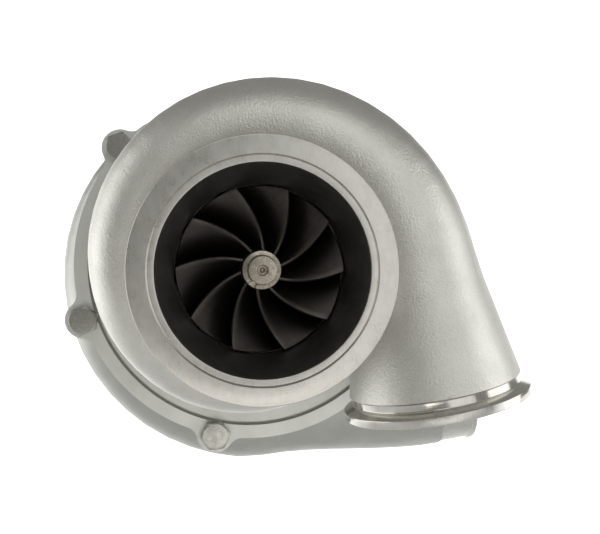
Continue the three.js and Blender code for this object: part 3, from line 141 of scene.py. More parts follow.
def apply_modifier(piece, kind, **values):
    """Adds a modifier with its settings and applies it."""
    alone(piece)
    bpy.ops.object.modifier_add(type=kind)
    modifier = piece.modifiers[-1]
    for key, value in values.items():
        setattr(modifier, key, value)
    bpy.ops.object.modifier_apply(modifier=modifier.name)


def combine(piece, tool, operation, solver="MANIFOLD"):
    """Joins a tool to a piece or cuts it out, then removes the tool."""
    apply_modifier(piece, "BOOLEAN", object=tool, operation=operation, solver=solver)
    bpy.data.objects.remove(tool)
    if not piece.data.polygons:
        raise RuntimeError(f"{piece.name} is empty after {operation}")
    return piece


def joined(piece, tool, solver="MANIFOLD"):
    """Joins a tool to a piece."""
    return combine(piece, tool, "UNION", solver)


def cut(piece, tool, solver="MANIFOLD"):
    """Cuts a tool out of a piece."""
    return combine(piece, tool, "DIFFERENCE", solver)


def rounded(corners, arc_steps=4):
    """A profile of (radius, y, fillet) corners with each fillet drawn as a short arc."""
    points = []
    count = len(corners)
    for i, (r, y, fillet) in enumerate(corners):
        corner = Vector((r, y))
        if not fillet:
            points.append(corner)
            continue
        before = (Vector(corners[i - 1][:2]) - corner).normalized()
        after = (Vector(corners[(i + 1) % count][:2]) - corner).normalized()
        half = before.angle(after) / 2
        back = fillet / math.tan(half)
        start = corner + before * back
        end = corner + after * back
        centre = corner + (before + after).normalized() * (fillet / math.sin(half))
        a = start - centre
        b = end - centre
        turn = math.atan2(a.x * b.y - a.y * b.x, a.dot(b))
        for t in steps(0, turn, arc_steps):
            c, s = math.cos(t), math.sin(t)
            points.append(centre + Vector((a.x * c - a.y * s, a.x * s + a.y * c)))
    return points


def turned(name, corners, around=96):
    """Spins a closed profile of (radius, y, fillet) corners round the Y axis."""
    profile = rounded(corners)
    alone(None)
    first = profile[0]
    bpy.ops.mesh.primitive_plane_add(size=MM, location=here(first.x, first.y, 0))
    piece = bpy.context.object
    bpy.ops.object.mode_set(mode="EDIT")
    bpy.ops.mesh.select_all(action="SELECT")
    bpy.ops.mesh.merge(type="CENTER")
    for last, point in zip(profile, profile[1:]):
        move = (point.x - last.x, point.y - last.y)
        if math.hypot(*move) < 1e-6:
            continue
        bpy.ops.mesh.extrude_region_move(
            TRANSFORM_OT_translate={"value": (move[0] * MM, move[1] * MM, 0)})
    open_axis = first.x < 1e-6 and profile[-1].x < 1e-6
    if not open_axis:
        mesh = bmesh.from_edit_mesh(piece.data)
        for vertex in mesh.verts:
            vertex.select = len(vertex.link_edges) == 1
        mesh.select_flush_mode()
        bmesh.update_edit_mesh(piece.data)
        bpy.ops.mesh.edge_face_add()
    bpy.ops.mesh.select_all(action="SELECT")
    bpy.ops.mesh.spin(steps=around, angle=2 * math.pi, center=here(0, 0, 0), axis=(0, 1, 0))
    bpy.ops.mesh.select_all(action="SELECT")
    bpy.ops.mesh.remove_doubles(threshold=1e-6)
    bpy.ops.mesh.normals_make_consistent(inside=False)
    return settle(piece, name)


def rod(name, radius, y0, y1, around=64, edge=0):
    """A round bar on the shaft axis, with its far edge broken."""
    return turned(name, [(0, y0, 0), (radius, y0, 0), (radius, y1, edge), (0, y1, 0)], around)


def ring(name, inner, outer, y0, y1, around=128):
    """A flat ring round the shaft axis."""
    corners = [(inner, y0, 0), (outer, y0, 0), (outer, y1, 0), (inner, y1, 0)]
    return turned(name, corners, around)


def shifted(piece, x, y, z):
    """Moves a piece by millimetres."""
    piece.matrix_world = Matrix.Translation(Vector((x, y, z)) * MM)
    return settle(piece, piece.name)


def moved(piece, centre, direction):
    """Moves a piece turned round the shaft so that it stands at centre along direction."""
    turn = Vector((0, 1, 0)).rotation_difference(direction).to_matrix().to_4x4()
    origin = here(0, 0, 0)
    piece.matrix_world = Matrix.Translation(here(*centre)) @ turn @ Matrix.Translation(-origin)
    return settle(piece, piece.name)


def lofted(name, stations, around=48):
    """Extrudes a disc from circle to circle, each given by its centre, radius and direction."""
    frames = []
    for centre, radius, forward in stations:
        ahead = forward.normalized()
        up = ahead.cross(Vector((0, 1, 0))).normalized()
        frame_axes = Matrix((up.cross(ahead), up, ahead)).transposed().to_4x4()
        frames.append(Matrix.Translation(here(*centre)) @ frame_axes @ Matrix.Scale(radius * MM, 4))
    alone(None)
    bpy.ops.mesh.primitive_circle_add(vertices=around, radius=1, fill_type="NGON")
    piece = bpy.context.object
    piece.matrix_world = frames[0]
    settle(piece, name)
    bpy.ops.object.mode_set(mode="EDIT")
    bpy.ops.mesh.select_all(action="SELECT")
    for last, following in zip(frames, frames[1:]):
        bpy.ops.mesh.extrude_region_move()
        mesh = bmesh.from_edit_mesh(piece.data)
        cap = [v for v in mesh.verts if v.select]
        bmesh.ops.transform(mesh, matrix=following @ last.inverted(), verts=cap)
        bmesh.update_edit_mesh(piece.data)
    bpy.ops.mesh.select_all(action="SELECT")
    bpy.ops.mesh.normals_make_consistent(inside=False)
    return settle(piece, name)


def arc(piece, centre, degrees, count):
    """Carries the selected end of an outline round a centre by an angle."""
    bpy.ops.mesh.spin(
        steps=count, angle=math.radians(degrees), center=here(*centre), axis=(0, 1, 0))


def smooth(piece, degrees=32):
    """Shades a piece smooth, with edges sharper than an angle left sharp."""
    alone(piece)
    bpy.ops.object.shade_smooth_by_angle(angle=math.radians(degrees))


def finish_piece(piece, body, node, degrees=32):
    """Puts a finished piece on its body in place of its CAD node."""
    smooth(piece, degrees)
    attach(piece, body)
    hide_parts(node)
    return piece


def copied(piece, name, matrix):
    """A copy with its own mesh, moved by a matrix."""
    twin = piece.copy()
    twin.data = piece.data.copy()
    twin.parent = None
    bpy.context.scene.collection.objects.link(twin)
    twin.matrix_world = matrix
    return settle(twin, name)


def dress(piece, finishes):
    """Gives each face the first finish whose test its place (in the shaft frame) passes."""
    piece.data.materials.clear()
    for material, _ in finishes:
        piece.data.materials.append(material)
    for face in piece.data.polygons:
        centre = face.center / MM - SHAFT
        for index, (_, test) in enumerate(finishes):
            if test(centre, face.normal):
                face.material_index = index
                break


def everywhere(centre, normal):
    """The test that every face passes."""
    return True


def cross_radius(point):
    """How far a point is from the shaft axis."""
    return math.hypot(point.x, point.z)


# ---- node helper and colours

def linear(colour):
    """An sRGB hex colour, or a colour setting that is linear already, as linear RGBA."""
    if not isinstance(colour, str):
        return (*colour, 1.0)
    parts = [int(colour[i:i + 2], 16) / 255 for i in (1, 3, 5)]
    values = [c / 12.92 if c <= 0.04045 else ((c + 0.055) / 1.055) ** 2.4 for c in parts]
    return (*values, 1.0)


def grey(value):
    """One value as a colour, for a ramp that carries a number."""
    return (value, value, value, 1.0)


def add_node(tree, kind, inputs=None, out=0, stops=(), **settings):
    """Adds a node with its settings, inputs or links, and a ramp's two stops; gives one output."""
    made = tree.nodes.new(kind)
    for key, value in settings.items():
        setattr(made, key, value)
    for socket, value in (inputs or {}).items():
        if isinstance(value, bpy.types.NodeSocket):
            tree.links.new(value, made.inputs[socket])
        else:
            made.inputs[socket].default_value = value
    for index, (position, colour) in enumerate(stops):
        made.color_ramp.elements[index].position = position
        made.color_ramp.elements[index].color = colour
    return made.outputs[out]


def new_material(name, metallic, ior=None):
    """A material with its shader and the place on the object."""
    material = bpy.data.materials.new(name)
    material.use_nodes = True
    tree = material.node_tree
    shader = tree.nodes["Principled BSDF"]
    shader.inputs["Metallic"].default_value = metallic
    if ior:
        shader.inputs["IOR"].default_value = ior
    return material, tree, shader, add_node(tree, "ShaderNodeTexCoord", out="Object")


def finish_surface(tree, shader, colour, rough, height, depth_mm):
    """Links colour, roughness and a bump of a real depth to the shader."""
    bump = add_node(tree, "ShaderNodeBump", {"Height": height, "Distance": depth_mm * MM, "Strength": 1.0})
    tree.links.new(colour, shader.inputs["Base Color"])
    tree.links.new(rough, shader.inputs["Roughness"])
    tree.links.new(bump, shader.inputs["Normal"])


def grainy(name, light, dark, rough, grain_mm, depth_mm, metallic=1.0, patch_mm=14.0, ior=None):
    """A grained surface: fine grain in height, slow patches in colour and roughness."""
    material, tree, shader, place = new_material(name, metallic, ior)
    grain = add_node(tree, "ShaderNodeTexNoise", {
        "Vector": place, "Scale": 1 / (grain_mm * MM), "Detail": 4.0, "Roughness": 0.6})
    patch = add_node(tree, "ShaderNodeTexNoise", {
        "Vector": place, "Scale": 1 / (patch_mm * MM), "Detail": 3.0, "Roughness": 0.55})
    mixed = add_node(tree, "ShaderNodeMath", {0: grain, 1: 0.45}, operation="MULTIPLY")
    mixed = add_node(tree, "ShaderNodeMath", {0: patch, 1: 0.55, 2: mixed}, operation="MULTIPLY_ADD")
    colour = add_node(tree, "ShaderNodeValToRGB", {"Fac": mixed}, stops=[
        (0.32, linear(dark)), (0.62, linear(light))])
    roughness = add_node(tree, "ShaderNodeValToRGB", {"Fac": mixed}, stops=[
        (0.3, grey(rough[1])), (0.7, grey(rough[0]))])
    finish_surface(tree, shader, colour, roughness, grain, depth_mm)
    return material


def lathe_turned(name, light, dark, rough, centre, axis=(0, 1, 0), line_mm=0.55, depth_mm=0.012):
    """Turned metal: fine feed lines round an axis, and the streak they draw in the light."""
    material, tree, shader, place = new_material(name, 1.0)
    axis = tuple(axis)
    local = add_node(tree, "ShaderNodeVectorMath", {0: place, 1: tuple(centre)}, operation="SUBTRACT")
    along = add_node(
        tree, "ShaderNodeVectorMath", {0: local, 1: axis}, "Value", operation="DOT_PRODUCT")
    back = add_node(tree, "ShaderNodeVectorMath", {0: axis, "Scale": along}, operation="SCALE")
    out = add_node(tree, "ShaderNodeVectorMath", {0: local, 1: back}, operation="SUBTRACT")
    radius = add_node(tree, "ShaderNodeVectorMath", {0: out}, "Value", operation="LENGTH")
    # Feed lines depend on the radius and the place along the axis only.
    track = add_node(tree, "ShaderNodeMath", {0: radius, 1: along}, operation="ADD")
    lines = add_node(tree, "ShaderNodeTexNoise", {
        "W": track, "Scale": 1 / (line_mm * MM), "Detail": 3.0, "Roughness": 0.6}, noise_dimensions="1D")
    # Handling marks: short scratches and slow stains.
    stretched = add_node(tree, "ShaderNodeMapping", {
        "Vector": place, "Rotation": (0.0, 0.35, 0.0), "Scale": (1.0, 1.0, 0.08)})
    scratches = add_node(tree, "ShaderNodeTexNoise", {
        "Vector": stretched, "Scale": 1 / (0.5 * MM), "Detail": 2.0, "Roughness": 0.5})
    stain = add_node(tree, "ShaderNodeTexNoise", {
        "Vector": place, "Scale": 1 / (5.0 * MM), "Detail": 4.0, "Roughness": 0.6})
    worn = add_node(tree, "ShaderNodeMath", {0: scratches, 1: 0.5, 2: stain}, operation="MULTIPLY_ADD")
    colour = add_node(tree, "ShaderNodeValToRGB", {"Fac": worn}, stops=[
        (0.5, linear(dark)), (0.95, linear(light))])
    wobble = add_node(tree, "ShaderNodeMath", {0: lines, 1: 0.5, 2: worn}, operation="MULTIPLY_ADD")
    wobble = add_node(tree, "ShaderNodeMath", {0: wobble, 1: 0.5}, operation="MULTIPLY")
    roughness = add_node(tree, "ShaderNodeValToRGB", {"Fac": wobble}, stops=[
        (0.3, grey(rough[0])), (0.7, grey(rough[1]))])
    # The streak runs across the lines, so the shader's tangent goes round the axis.
    round_it = add_node(tree, "ShaderNodeVectorMath", {0: axis, 1: out}, operation="CROSS_PRODUCT")
    round_it = add_node(tree, "ShaderNodeVectorMath", {0: round_it}, operation="NORMALIZE")
    shader.inputs["Anisotropic"].default_value = 0.5
    tree.links.new(round_it, shader.inputs["Tangent"])
    finish_surface(tree, shader, colour, roughness, lines, depth_mm)
    return material


def mount(name):
    """A mount of the record by its name."""
    return next(m for m in frame["record"]["mounts"] if m["name"] == name)


INLET_CENTRE = Vector(mount("turbine_inlet")["pos_m"]) / MM - SHAFT
INLET_AXIS = Vector(mount("turbine_inlet")["axis"])
AIR_OUT_AXIS = Vector(mount("compressor_outlet_face")["axis"]).normalized()
FINISHES = {}


def make_finishes(look):
    """Every finish, named for the real material and how its surface was made."""
    shaft = here(0, 0, 0)
    # Investment-cast stainless steel, bead blasted: an even satin grain, slightly warm.
    FINISHES["cast_stainless"] = grainy(
        "bead_blasted_cast_stainless", look.casting_light, look.casting_dark, (0.34, 0.42), 0.9, 0.26)
    # Faces turned on a lathe: bright, with circular feed lines.
    FINISHES["turned_stainless"] = lathe_turned(
        "turned_stainless_flange", "#cfcdc8", "#bfbdb7", (0.25, 0.33), shaft)
    # The inlet flange is turned finer, so it mirrors more.
    FINISHES["turned_inlet"] = lathe_turned(
        "turned_stainless_inlet_flange", "#d2d0ca", "#c4c1ba", (0.08, 0.16), here(*INLET_CENTRE),
        INLET_AXIS)
    # The bore round the wheel: its colour a little darker than the turned faces, as painted shade for the
    # deep bore.
    FINISHES["bore"] = lathe_turned(
        "painted_shade_turned_bore", "#b7b5b0", "#a5a39e", (0.42, 0.5), shaft, line_mm=0.8)
    # Cast nickel alloy, oxidised almost black with a brown cast.
    FINISHES["nickel_alloy"] = grainy(
        "oxidised_nickel_alloy", look.wheel_light, look.wheel_dark, (0.36, 0.48), 0.5, 0.03, patch_mm=8.0)
    # The nose is machined after casting: bright, with small dark patches.
    FINISHES["machined_nose"] = grainy(
        "machined_nickel_alloy_nose", "#b9b1a5", "#857d72", (0.22, 0.36), 0.35, 0.05, patch_mm=1.6)
    # Cast aluminium, tumbled to a smooth satin.
    FINISHES["cast_aluminium"] = grainy(
        "tumbled_cast_aluminium", look.cover_light, look.cover_dark, (0.36, 0.46), 0.6, 0.06)
    # The backplate is the same metal, faced and then tumbled: lighter and more even.
    FINISHES["tumbled_plate"] = grainy(
        "tumbled_faced_aluminium", look.plate_light, look.plate_dark, (0.4, 0.48), 0.5, 0.03)
    # Machined aluminium: bright joint faces and pipe ends.
    FINISHES["turned_aluminium"] = lathe_turned(
        "turned_aluminium", "#d3d3ce", "#c4c4bf", (0.2, 0.3), shaft)
    # Milled from billet: cutter lines coarser than a lathe's.
    FINISHES["billet_aluminium"] = lathe_turned(
        "milled_billet_aluminium", "#deded9", "#cfcfca", (0.16, 0.28), shaft, line_mm=0.9)
    # Sand-cast iron: a coarser, darker grain.
    FINISHES["cast_iron"] = grainy("sand_cast_iron", "#8d8b86", "#6a6864", (0.5, 0.68), 1.1, 0.2)
    # Its faced pads and bores: lighter and nearly smooth.
    FINISHES["machined_iron"] = grainy(
        "faced_cast_iron", "#b5b3ae", "#96948f", (0.3, 0.42), 0.5, 0.02)
    # Ground bearing steel: the smoothest metal here.
    FINISHES["ground_steel"] = lathe_turned(
        "ground_bearing_steel", "#d8d8d6", "#c6c6c4", (0.1, 0.18), shaft, line_mm=0.4, depth_mm=0.003)
    # Zinc plate: slightly cloudy grey.
    FINISHES["zinc_steel"] = grainy(
        "zinc_plated_steel", look.screw_light, look.screw_dark, (0.2, 0.32), 0.45, 0.03, patch_mm=2.5)
    # Pressed sheet, warmed to straw by the heat.
    FINISHES["sheet_stainless"] = grainy(
        "pressed_stainless_sheet", "#b8b0a4", "#9a9084", (0.26, 0.38), 0.5, 0.02)
    # Brown fibre-filled resin, matt.
    FINISHES["cage_resin"] = grainy(
        "fibre_filled_cage_resin", "#6e5a41", "#4d3e2c", (0.5, 0.65), 0.4, 0.03, metallic=0.0, ior=1.57)
    # Black rubber, matt.
    FINISHES["seal_rubber"] = grainy(
        "moulded_fluorocarbon_rubber", "#242424", "#161616", (0.55, 0.7), 0.3, 0.02, metallic=0.0,
        ior=1.52)


# ---- turbine housing

FLANGE_R = 50.8               # the outlet's band-clamp flange, 4 inches across
NECK_R = 46.5
LIP_R = 43.1
BORE_R = 40.3
THROAT_R = 34.6               # where the bore meets the blades
REAR_RING_R = 57.0
SPIGOT_BORE_R = 44.3
REAR_FACE = span_y("turbine_housing")[1]
INLET_FLANGE_R = 40.5
INLET_NECK_R = 36.1
INLET_BORE_R = 31.5
SCROLL_WALL = 4.5
SCROLL_SWEEP = 330
SCROLL_NARROWING = 0.76       # below 1, the scroll narrows fastest near its start
SCROLL_START = (67.5, 42, 27.0)     # distance from the shaft, place along it, section radius
SCROLL_END = (48.2, 51, 8.8)
CLAMP_HOLE_R = 3.25


def turbine_section(degrees):
    """The scroll's middle and radius at an angle round the shaft."""
    s = (degrees / SCROLL_SWEEP) ** SCROLL_NARROWING
    out, along, radius = (lerp(a, b, s) for a, b in zip(SCROLL_START, SCROLL_END))
    return polar(out, degrees, along), radius


def scroll_stations(inlet_r, from_depth, wall):
    """The inlet duct from its flange up into the scroll, and round to the tongue."""
    start = INLET_CENTRE - INLET_AXIS * from_depth
    out, along, radius = SCROLL_START
    head = Vector((out, along, 2))
    up = Vector((0, 0, 1))
    stations = []
    for s in steps(0, 1, 10)[:-1]:
        forward = (-INLET_AXIS).lerp(up, s)
        stations.append((start.lerp(head, s), lerp(inlet_r, radius - wall, s), forward))
    for degrees in steps(3, SCROLL_SWEEP, 44):
        centre, radius = turbine_section(degrees)
        ahead = turbine_section(degrees + 0.5)[0] - turbine_section(degrees - 0.5)[0]
        stations.append((centre, radius - wall, ahead))
    return stations


def bolt_holes(prefix, count, radius, y0, y1):
    """One cutter for each of a row of CAD bolts."""
    made = []
    for i in range(1, count + 1):
        low, high = node_box(f"{prefix}_{i}")
        centre = (low + high) / 2 - SHAFT
        made.append(shifted(rod(f"hole_{i}", radius, y0, y1, 24), centre.x, 0, centre.z))
    return made


def model_turbine_housing():
    """A lofted scroll with its body, smoothed as one casting, then turned and bored."""
    cast = lofted("turbine_housing_casting", scroll_stations(38.0, 4.0, 0), 56)
    body = turned("cast_body", [
        (0, 9, 0), (NECK_R, 9, 0), (NECK_R, 26, 6), (55.5, 52, 8), (56.6, 60, 3), (56.6, 70, 0),
        (0, 70, 0)])
    joined(cast, body)
    apply_modifier(cast, "REMESH", mode="VOXEL", voxel_size=1.15 * MM)
    apply_modifier(cast, "SMOOTH", factor=0.5, iterations=9)
    duct_end = turned("duct_end", [
        (INLET_NECK_R, -3, 0), (60, -3, 0), (60, 9, 0), (INLET_NECK_R + 0.9, 9, 0),
        (INLET_NECK_R, 8.2, 0)], 128)
    cut(cast, moved(duct_end, INLET_CENTRE, -INLET_AXIS))
    joined(cast, turned("outlet_flange", [
        (0, 0, 0), (FLANGE_R, 0, 0.35), (FLANGE_R, 3.5, 0.4), (NECK_R, 5.3, 0.8), (NECK_R, 24, 0),
        (0, 24, 0)], 160))
    joined(cast, turned("rear_ring", [
        (0, 57, 0), (REAR_RING_R - 1.1, 57, 0.8), (REAR_RING_R, 58.2, 0.4),
        (REAR_RING_R, REAR_FACE, 0.5), (0, REAR_FACE, 0)], 160))
    inlet = turned("inlet_flange", [
        (0, 0, 0), (INLET_FLANGE_R, 0, 0.35), (INLET_FLANGE_R, 3.4, 0.4), (INLET_NECK_R, 5.2, 0.7),
        (INLET_NECK_R, 9.0, 0), (0, 9.0, 0)], 128)
    joined(cast, moved(inlet, INLET_CENTRE, -INLET_AXIS))
    cut(cast, turned("passage", [
        (0, -2, 0), (LIP_R + 0.5, -2, 0), (LIP_R + 0.5, 0, 0.15), (LIP_R - 0.1, 0.85, 0.1),
        (LIP_R - 0.1, 1.0, 0), (BORE_R + 0.3, 1.0, 0.25), (BORE_R - 0.2, 2.6, 0.4),
        (THROAT_R, 25.6, 1.5), (34.8, 32, 3), (35.5, 41, 5), (37.7, 48.3, 1), (37.7, 61.2, 0),
        (39.7, 61.2, 0), (39.7, 66.0, 0), (SPIGOT_BORE_R, 66.0, 0), (SPIGOT_BORE_R, REAR_FACE + 2, 0),
        (0, REAR_FACE + 2, 0)], 160))
    cut(cast, lofted("duct_bore", scroll_stations(INLET_BORE_R, -2.0, SCROLL_WALL), 40))
    cut(cast, turned("nozzle", [(36, 49.5, 0), (47, 50.5, 0), (47, 56, 0), (36, 60.2, 0)]))
    for hole in bolt_holes("clamp_bolt", 6, CLAMP_HOLE_R, 62.5, REAR_FACE + 2):
        cut(cast, hole)

    def outlet_face(p, n):
        return p.y < 5.4 and cross_radius(p) > BORE_R + 0.3

    def outlet_bore(p, n):
        return p.y < 60 and cross_radius(p) < BORE_R + 0.3

    def rear_face(p, n):
        return p.y > REAR_FACE - 15 and (cross_radius(p) > REAR_RING_R - 0.2 or p.y > REAR_FACE - 0.4)

    def inlet_face(p, n):
        rise = (p - INLET_CENTRE).dot(-INLET_AXIS)
        out = ((p - INLET_CENTRE) + INLET_AXIS * rise).length
        return rise < 8.1 and 31 < out < INLET_FLANGE_R + 1 and p.x > 30

    dress(cast, [
        (FINISHES["bore"], outlet_bore), (FINISHES["turned_stainless"], outlet_face),
        (FINISHES["turned_stainless"], rear_face), (FINISHES["turned_inlet"], inlet_face),
        (FINISHES["cast_stainless"], everywhere)])
    return finish_piece(cast, "housing", "turbine_housing")


# ---- wheels

def blade_sheet(name, hub_line, shroud_line, turn, across, up, first=0.0):
    """One blade's middle surface: a grid laid between its hub line and its shroud line."""
    alone(None)
    bpy.ops.mesh.primitive_grid_add(x_subdivisions=across, y_subdivisions=up, size=1)
    sheet = bpy.context.object
    for vertex in sheet.data.vertices:
        u = first + (1 - first) * (vertex.co.x + 0.5)
        v = vertex.co.y + 0.5
        hub_r, hub_y = hub_line(u)
        shroud_r, shroud_y = shroud_line(u)
        place = polar(lerp(hub_r, shroud_r, v), turn(u, v), lerp(hub_y, shroud_y, v))
        vertex.co = here(*place)
    sheet.data.update()
    return settle(sheet, name)


def bladed(wheel, sheet, count, phase, thick):
    """Thickens a blade, sets copies of it round the hub and joins them to the wheel."""
    apply_modifier(sheet, "SOLIDIFY", thickness=thick * MM, offset=0.0, use_even_offset=True)
    apply_modifier(
        sheet, "BEVEL", width=0.22 * MM, segments=2, limit_method="ANGLE",
        angle_limit=math.radians(50))
    origin = here(0, 0, 0)
    for i in range(count):
        turn = Matrix.Rotation(-math.radians(phase + 360 * i / count), 4, "Y")
        matrix = Matrix.Translation(origin) @ turn @ Matrix.Translation(-origin)
        joined(wheel, copied(sheet, f"blade_{i}", matrix), "EXACT")
    bpy.data.objects.remove(sheet)
    return wheel


EXDUCER_R = 33.9
EXDUCER_Y = 25.4
TIP_R = 37.0
TIP_Y = 49.0
HUB_R = 8.0
HUB_BACK = (34.0, 59.0)       # radius and place along the shaft
NOSE_R = 5.5
NOSE_Y = 9.0
SHOULDER_R = 7.6
BOSS_R = 10.0
BLADE_PHASE = 6.4


def turbine_hub_line(u, sunk=0.0):
    """The hub's outline from the outlet to the back disc, as a quarter of an ellipse."""
    t = u * math.pi / 2
    back_r, back_y = HUB_BACK
    return lerp(back_r, HUB_R, math.cos(t)) - sunk, lerp(EXDUCER_Y, back_y, math.sin(t)) + sunk * 0.5


def turbine_shroud_line(u):
    """The blade tips' outline from the outlet to the inlet."""
    return lerp(EXDUCER_R, TIP_R, u ** 3), lerp(EXDUCER_Y, TIP_Y, u)


def model_turbine_wheel(sizes):
    """A turned hub with its nose and seal groove, and blades joined round it."""
    hub = [(*turbine_hub_line(u), 0) for u in steps(0, 1, 16)]
    back = hub[-1][0]
    low, high = 66.5, 68.3
    wheel = turned("turbine_wheel_hub", [
        (0, 13.0, 0), (1.1, 11.4, 0), (1.9, 11.4, 0), (1.9, 9.3, 0), (2.15, NOSE_Y, 0),
        (NOSE_R, NOSE_Y, 0.25), (NOSE_R, 14.6, 1.0), (SHOULDER_R, 15.2, 0.35), (SHOULDER_R, 18.6, 0.3),
        *hub, (back, 60, 0.3), (BOSS_R, 60, 1.5), (BOSS_R, low, 0.1), (BOSS_R - 1.3, low, 0),
        (BOSS_R - 1.3, high, 0), (BOSS_R, high, 0.1), (BOSS_R, 70, 0.3), (0, 70, 0)])
    notch = rod("balance_notch", 1.7, 7, 15.6, 32, 0.6)
    cut(wheel, shifted(notch, *polar(7.0, 237, 0)), "EXACT")

    def buried_hub_line(u):
        return turbine_hub_line(u, 1.0)

    def turn(u, v):
        root = math.degrees(sizes.edge_lean) * v ** 0.75
        return lerp(root, math.degrees(sizes.wrap), 1 - (1 - u) ** 2)

    sheet = blade_sheet("turbine_blade", buried_hub_line, turbine_shroud_line, turn, 22, 14)
    bladed(wheel, sheet, sizes.turbine_blades, BLADE_PHASE, 1.25)

    def nose(p, n):
        return p.y < 20.4 and cross_radius(p) < SHOULDER_R + 0.3

    dress(wheel, [(FINISHES["machined_nose"], nose), (FINISHES["nickel_alloy"], everywhere)])
    return finish_piece(wheel, "rotor", "turbine_wheel")


BACK_Y = 114.2
INDUCER_Y = 146.0
INDUCER_R = 32.5
IMPELLER_R = 42.5
IMPELLER_DISC_R = 41.9
IMPELLER_HUB_R = 9.0
IMPELLER_BORE_R = 4.1
NUT_Y = 149                   # the nut's seat
SPLITTER_START = 0.32         # share of the full blade that a splitter blade leaves out


def impeller_hub_line(u, sunk=0.0):
    """The hub's outline from the inducer to the rim, as a quarter of an ellipse."""
    t = u * math.pi / 2
    r = lerp(IMPELLER_DISC_R, IMPELLER_HUB_R, math.cos(t))
    y = lerp(INDUCER_Y + 2, BACK_Y + 1.2, math.sin(t))
    return r - sunk * (1 - u), y - sunk


def impeller_shroud_line(u):
    """The blade tips' outline from the inducer to the rim."""
    t = u * math.pi / 2
    return lerp(IMPELLER_R, INDUCER_R, math.cos(t)), lerp(INDUCER_Y, BACK_Y + 4, math.sin(t))


def model_compressor_wheel(sizes):
    """A turned hub with full blades and splitter blades in turn."""
    hub = [(*impeller_hub_line(u), 0) for u in steps(1, 0, 18)]
    wheel = turned("compressor_wheel_hub", [
        (IMPELLER_BORE_R, 113.6, 0.2), (9, 113.6, 0.2), (10, BACK_Y, 0.3), (IMPELLER_DISC_R, BACK_Y, 0.2),
        *hub, (8.7, NUT_Y, 0.4), (IMPELLER_BORE_R, NUT_Y, 0.3)])

    def turn(u, v):
        return 48 * (1 - u) ** 1.6 - 22 * u ** 2 - 6 * (1 - v) * u

    def hub_line(u):
        return impeller_hub_line(u, 0.8)

    pitch = 360 / sizes.compressor_blades
    full = blade_sheet("main_blade", hub_line, impeller_shroud_line, turn, 24, 10)
    bladed(wheel, full, sizes.compressor_blades, 0, 1.0)
    short = blade_sheet(
        "splitter_blade", hub_line, impeller_shroud_line, turn, 18, 10, SPLITTER_START)
    bladed(wheel, short, sizes.compressor_blades, pitch / 2, 1.0)
    dress(wheel, [(FINISHES["billet_aluminium"], everywhere)])
    return finish_piece(wheel, "rotor", "compressor_wheel")


# ---- fasteners

def hexagon(name, flats, y0, y1):
    """A hexagonal bar along Y with its corners above and below the shaft."""
    alone(None)
    radius = flats / 2 / math.cos(math.pi / 6)
    bpy.ops.mesh.primitive_cylinder_add(
        vertices=6, radius=radius * MM, depth=(y1 - y0) * MM, location=here(0, (y0 + y1) / 2, 0),
        rotation=(math.pi / 2, 0, 0))
    return settle(bpy.context.object, name)


def chamfered(bar, flats, y0, y1, both):
    """Turns the corners off a hexagonal bar at 30 degrees, at its near end or at both."""
    radius = flats / 2 / math.cos(math.pi / 6) + 0.3
    flat = flats / 2 * 0.94
    drop = (radius - flat) * math.tan(math.radians(30))
    far = [(radius, y1, 0), (0, y1, 0)]
    if both:
        far = [(radius, y1 - drop, 0), (flat, y1, 0.15), (0, y1, 0)]
    envelope = turned("chamfer", [(0, y0, 0), (flat, y0, 0.15), (radius, y0 + drop, 0), *far])
    return combine(bar, envelope, "INTERSECT", "EXACT")


def hex_screw(name, thread, length):
    """A hexagon-head screw with its seat at y = 0, a washer face and a cut thread."""
    shank, flats, head, pitch = (thread[key] for key in ("shank", "flats", "head", "pitch"))
    bar = chamfered(hexagon(name, flats, -head, -0.4), flats, -head, -0.4, False)
    joined(bar, rod("washer_face", flats / 2 - 0.15, -1.0, 0, 48, 0.1), "EXACT")
    outline = [(0, -1.2, 0), (shank, -1.2, 0), (shank, 1.5, 0)]
    y = 1.5
    while y + pitch < length - 1.0:
        outline += [(shank - pitch * 0.5, y + pitch * 0.5, 0), (shank, y + pitch, 0)]
        y += pitch
    outline += [(shank, length - 0.8, 0), (shank - 0.8, length, 0), (0, length, 0)]
    joined(bar, turned("thread", outline, 32), "EXACT")
    dress(bar, [(FINISHES["zinc_steel"], everywhere)])
    return bar


def set_screws(template, prefix, count, head, towards, turned_by=(0,)):
    """Sets copies of a screw where the CAD screws are; towards is the way its shank points."""
    origin = here(0, 0, 0)
    for i in range(1, count + 1):
        node = f"{prefix}_{i}"
        low, high = node_box(node)
        middle = (low + high) / 2 - SHAFT
        seat_y = low.y - SHAFT.y + head if towards > 0 else high.y - SHAFT.y - head
        turn = Matrix.Rotation(0 if towards > 0 else math.pi, 4, "Z")
        turn = turn @ Matrix.Rotation(math.radians(turned_by[i % len(turned_by)]), 4, "Y")
        place = Matrix.Translation(here(middle.x, seat_y, middle.z))
        screw = copied(template, f"{node}_part", place @ turn @ Matrix.Translation(-origin))
        finish_piece(screw, "housing", node, 30)
    bpy.data.objects.remove(template)


M8 = {"shank": 4.0, "flats": 13.0, "head": 5.3, "pitch": 1.25}
M6 = {"shank": 3.0, "flats": 10.0, "head": 4.0, "pitch": 1.0}
M5 = {"shank": 2.5, "flats": 8.0, "head": 3.5, "pitch": 0.8}
NUT_FLATS = 13.0
NUT_HEIGHT = 7
LOCATOR_Y = 84.0
LOCATOR_ANGLE = 225


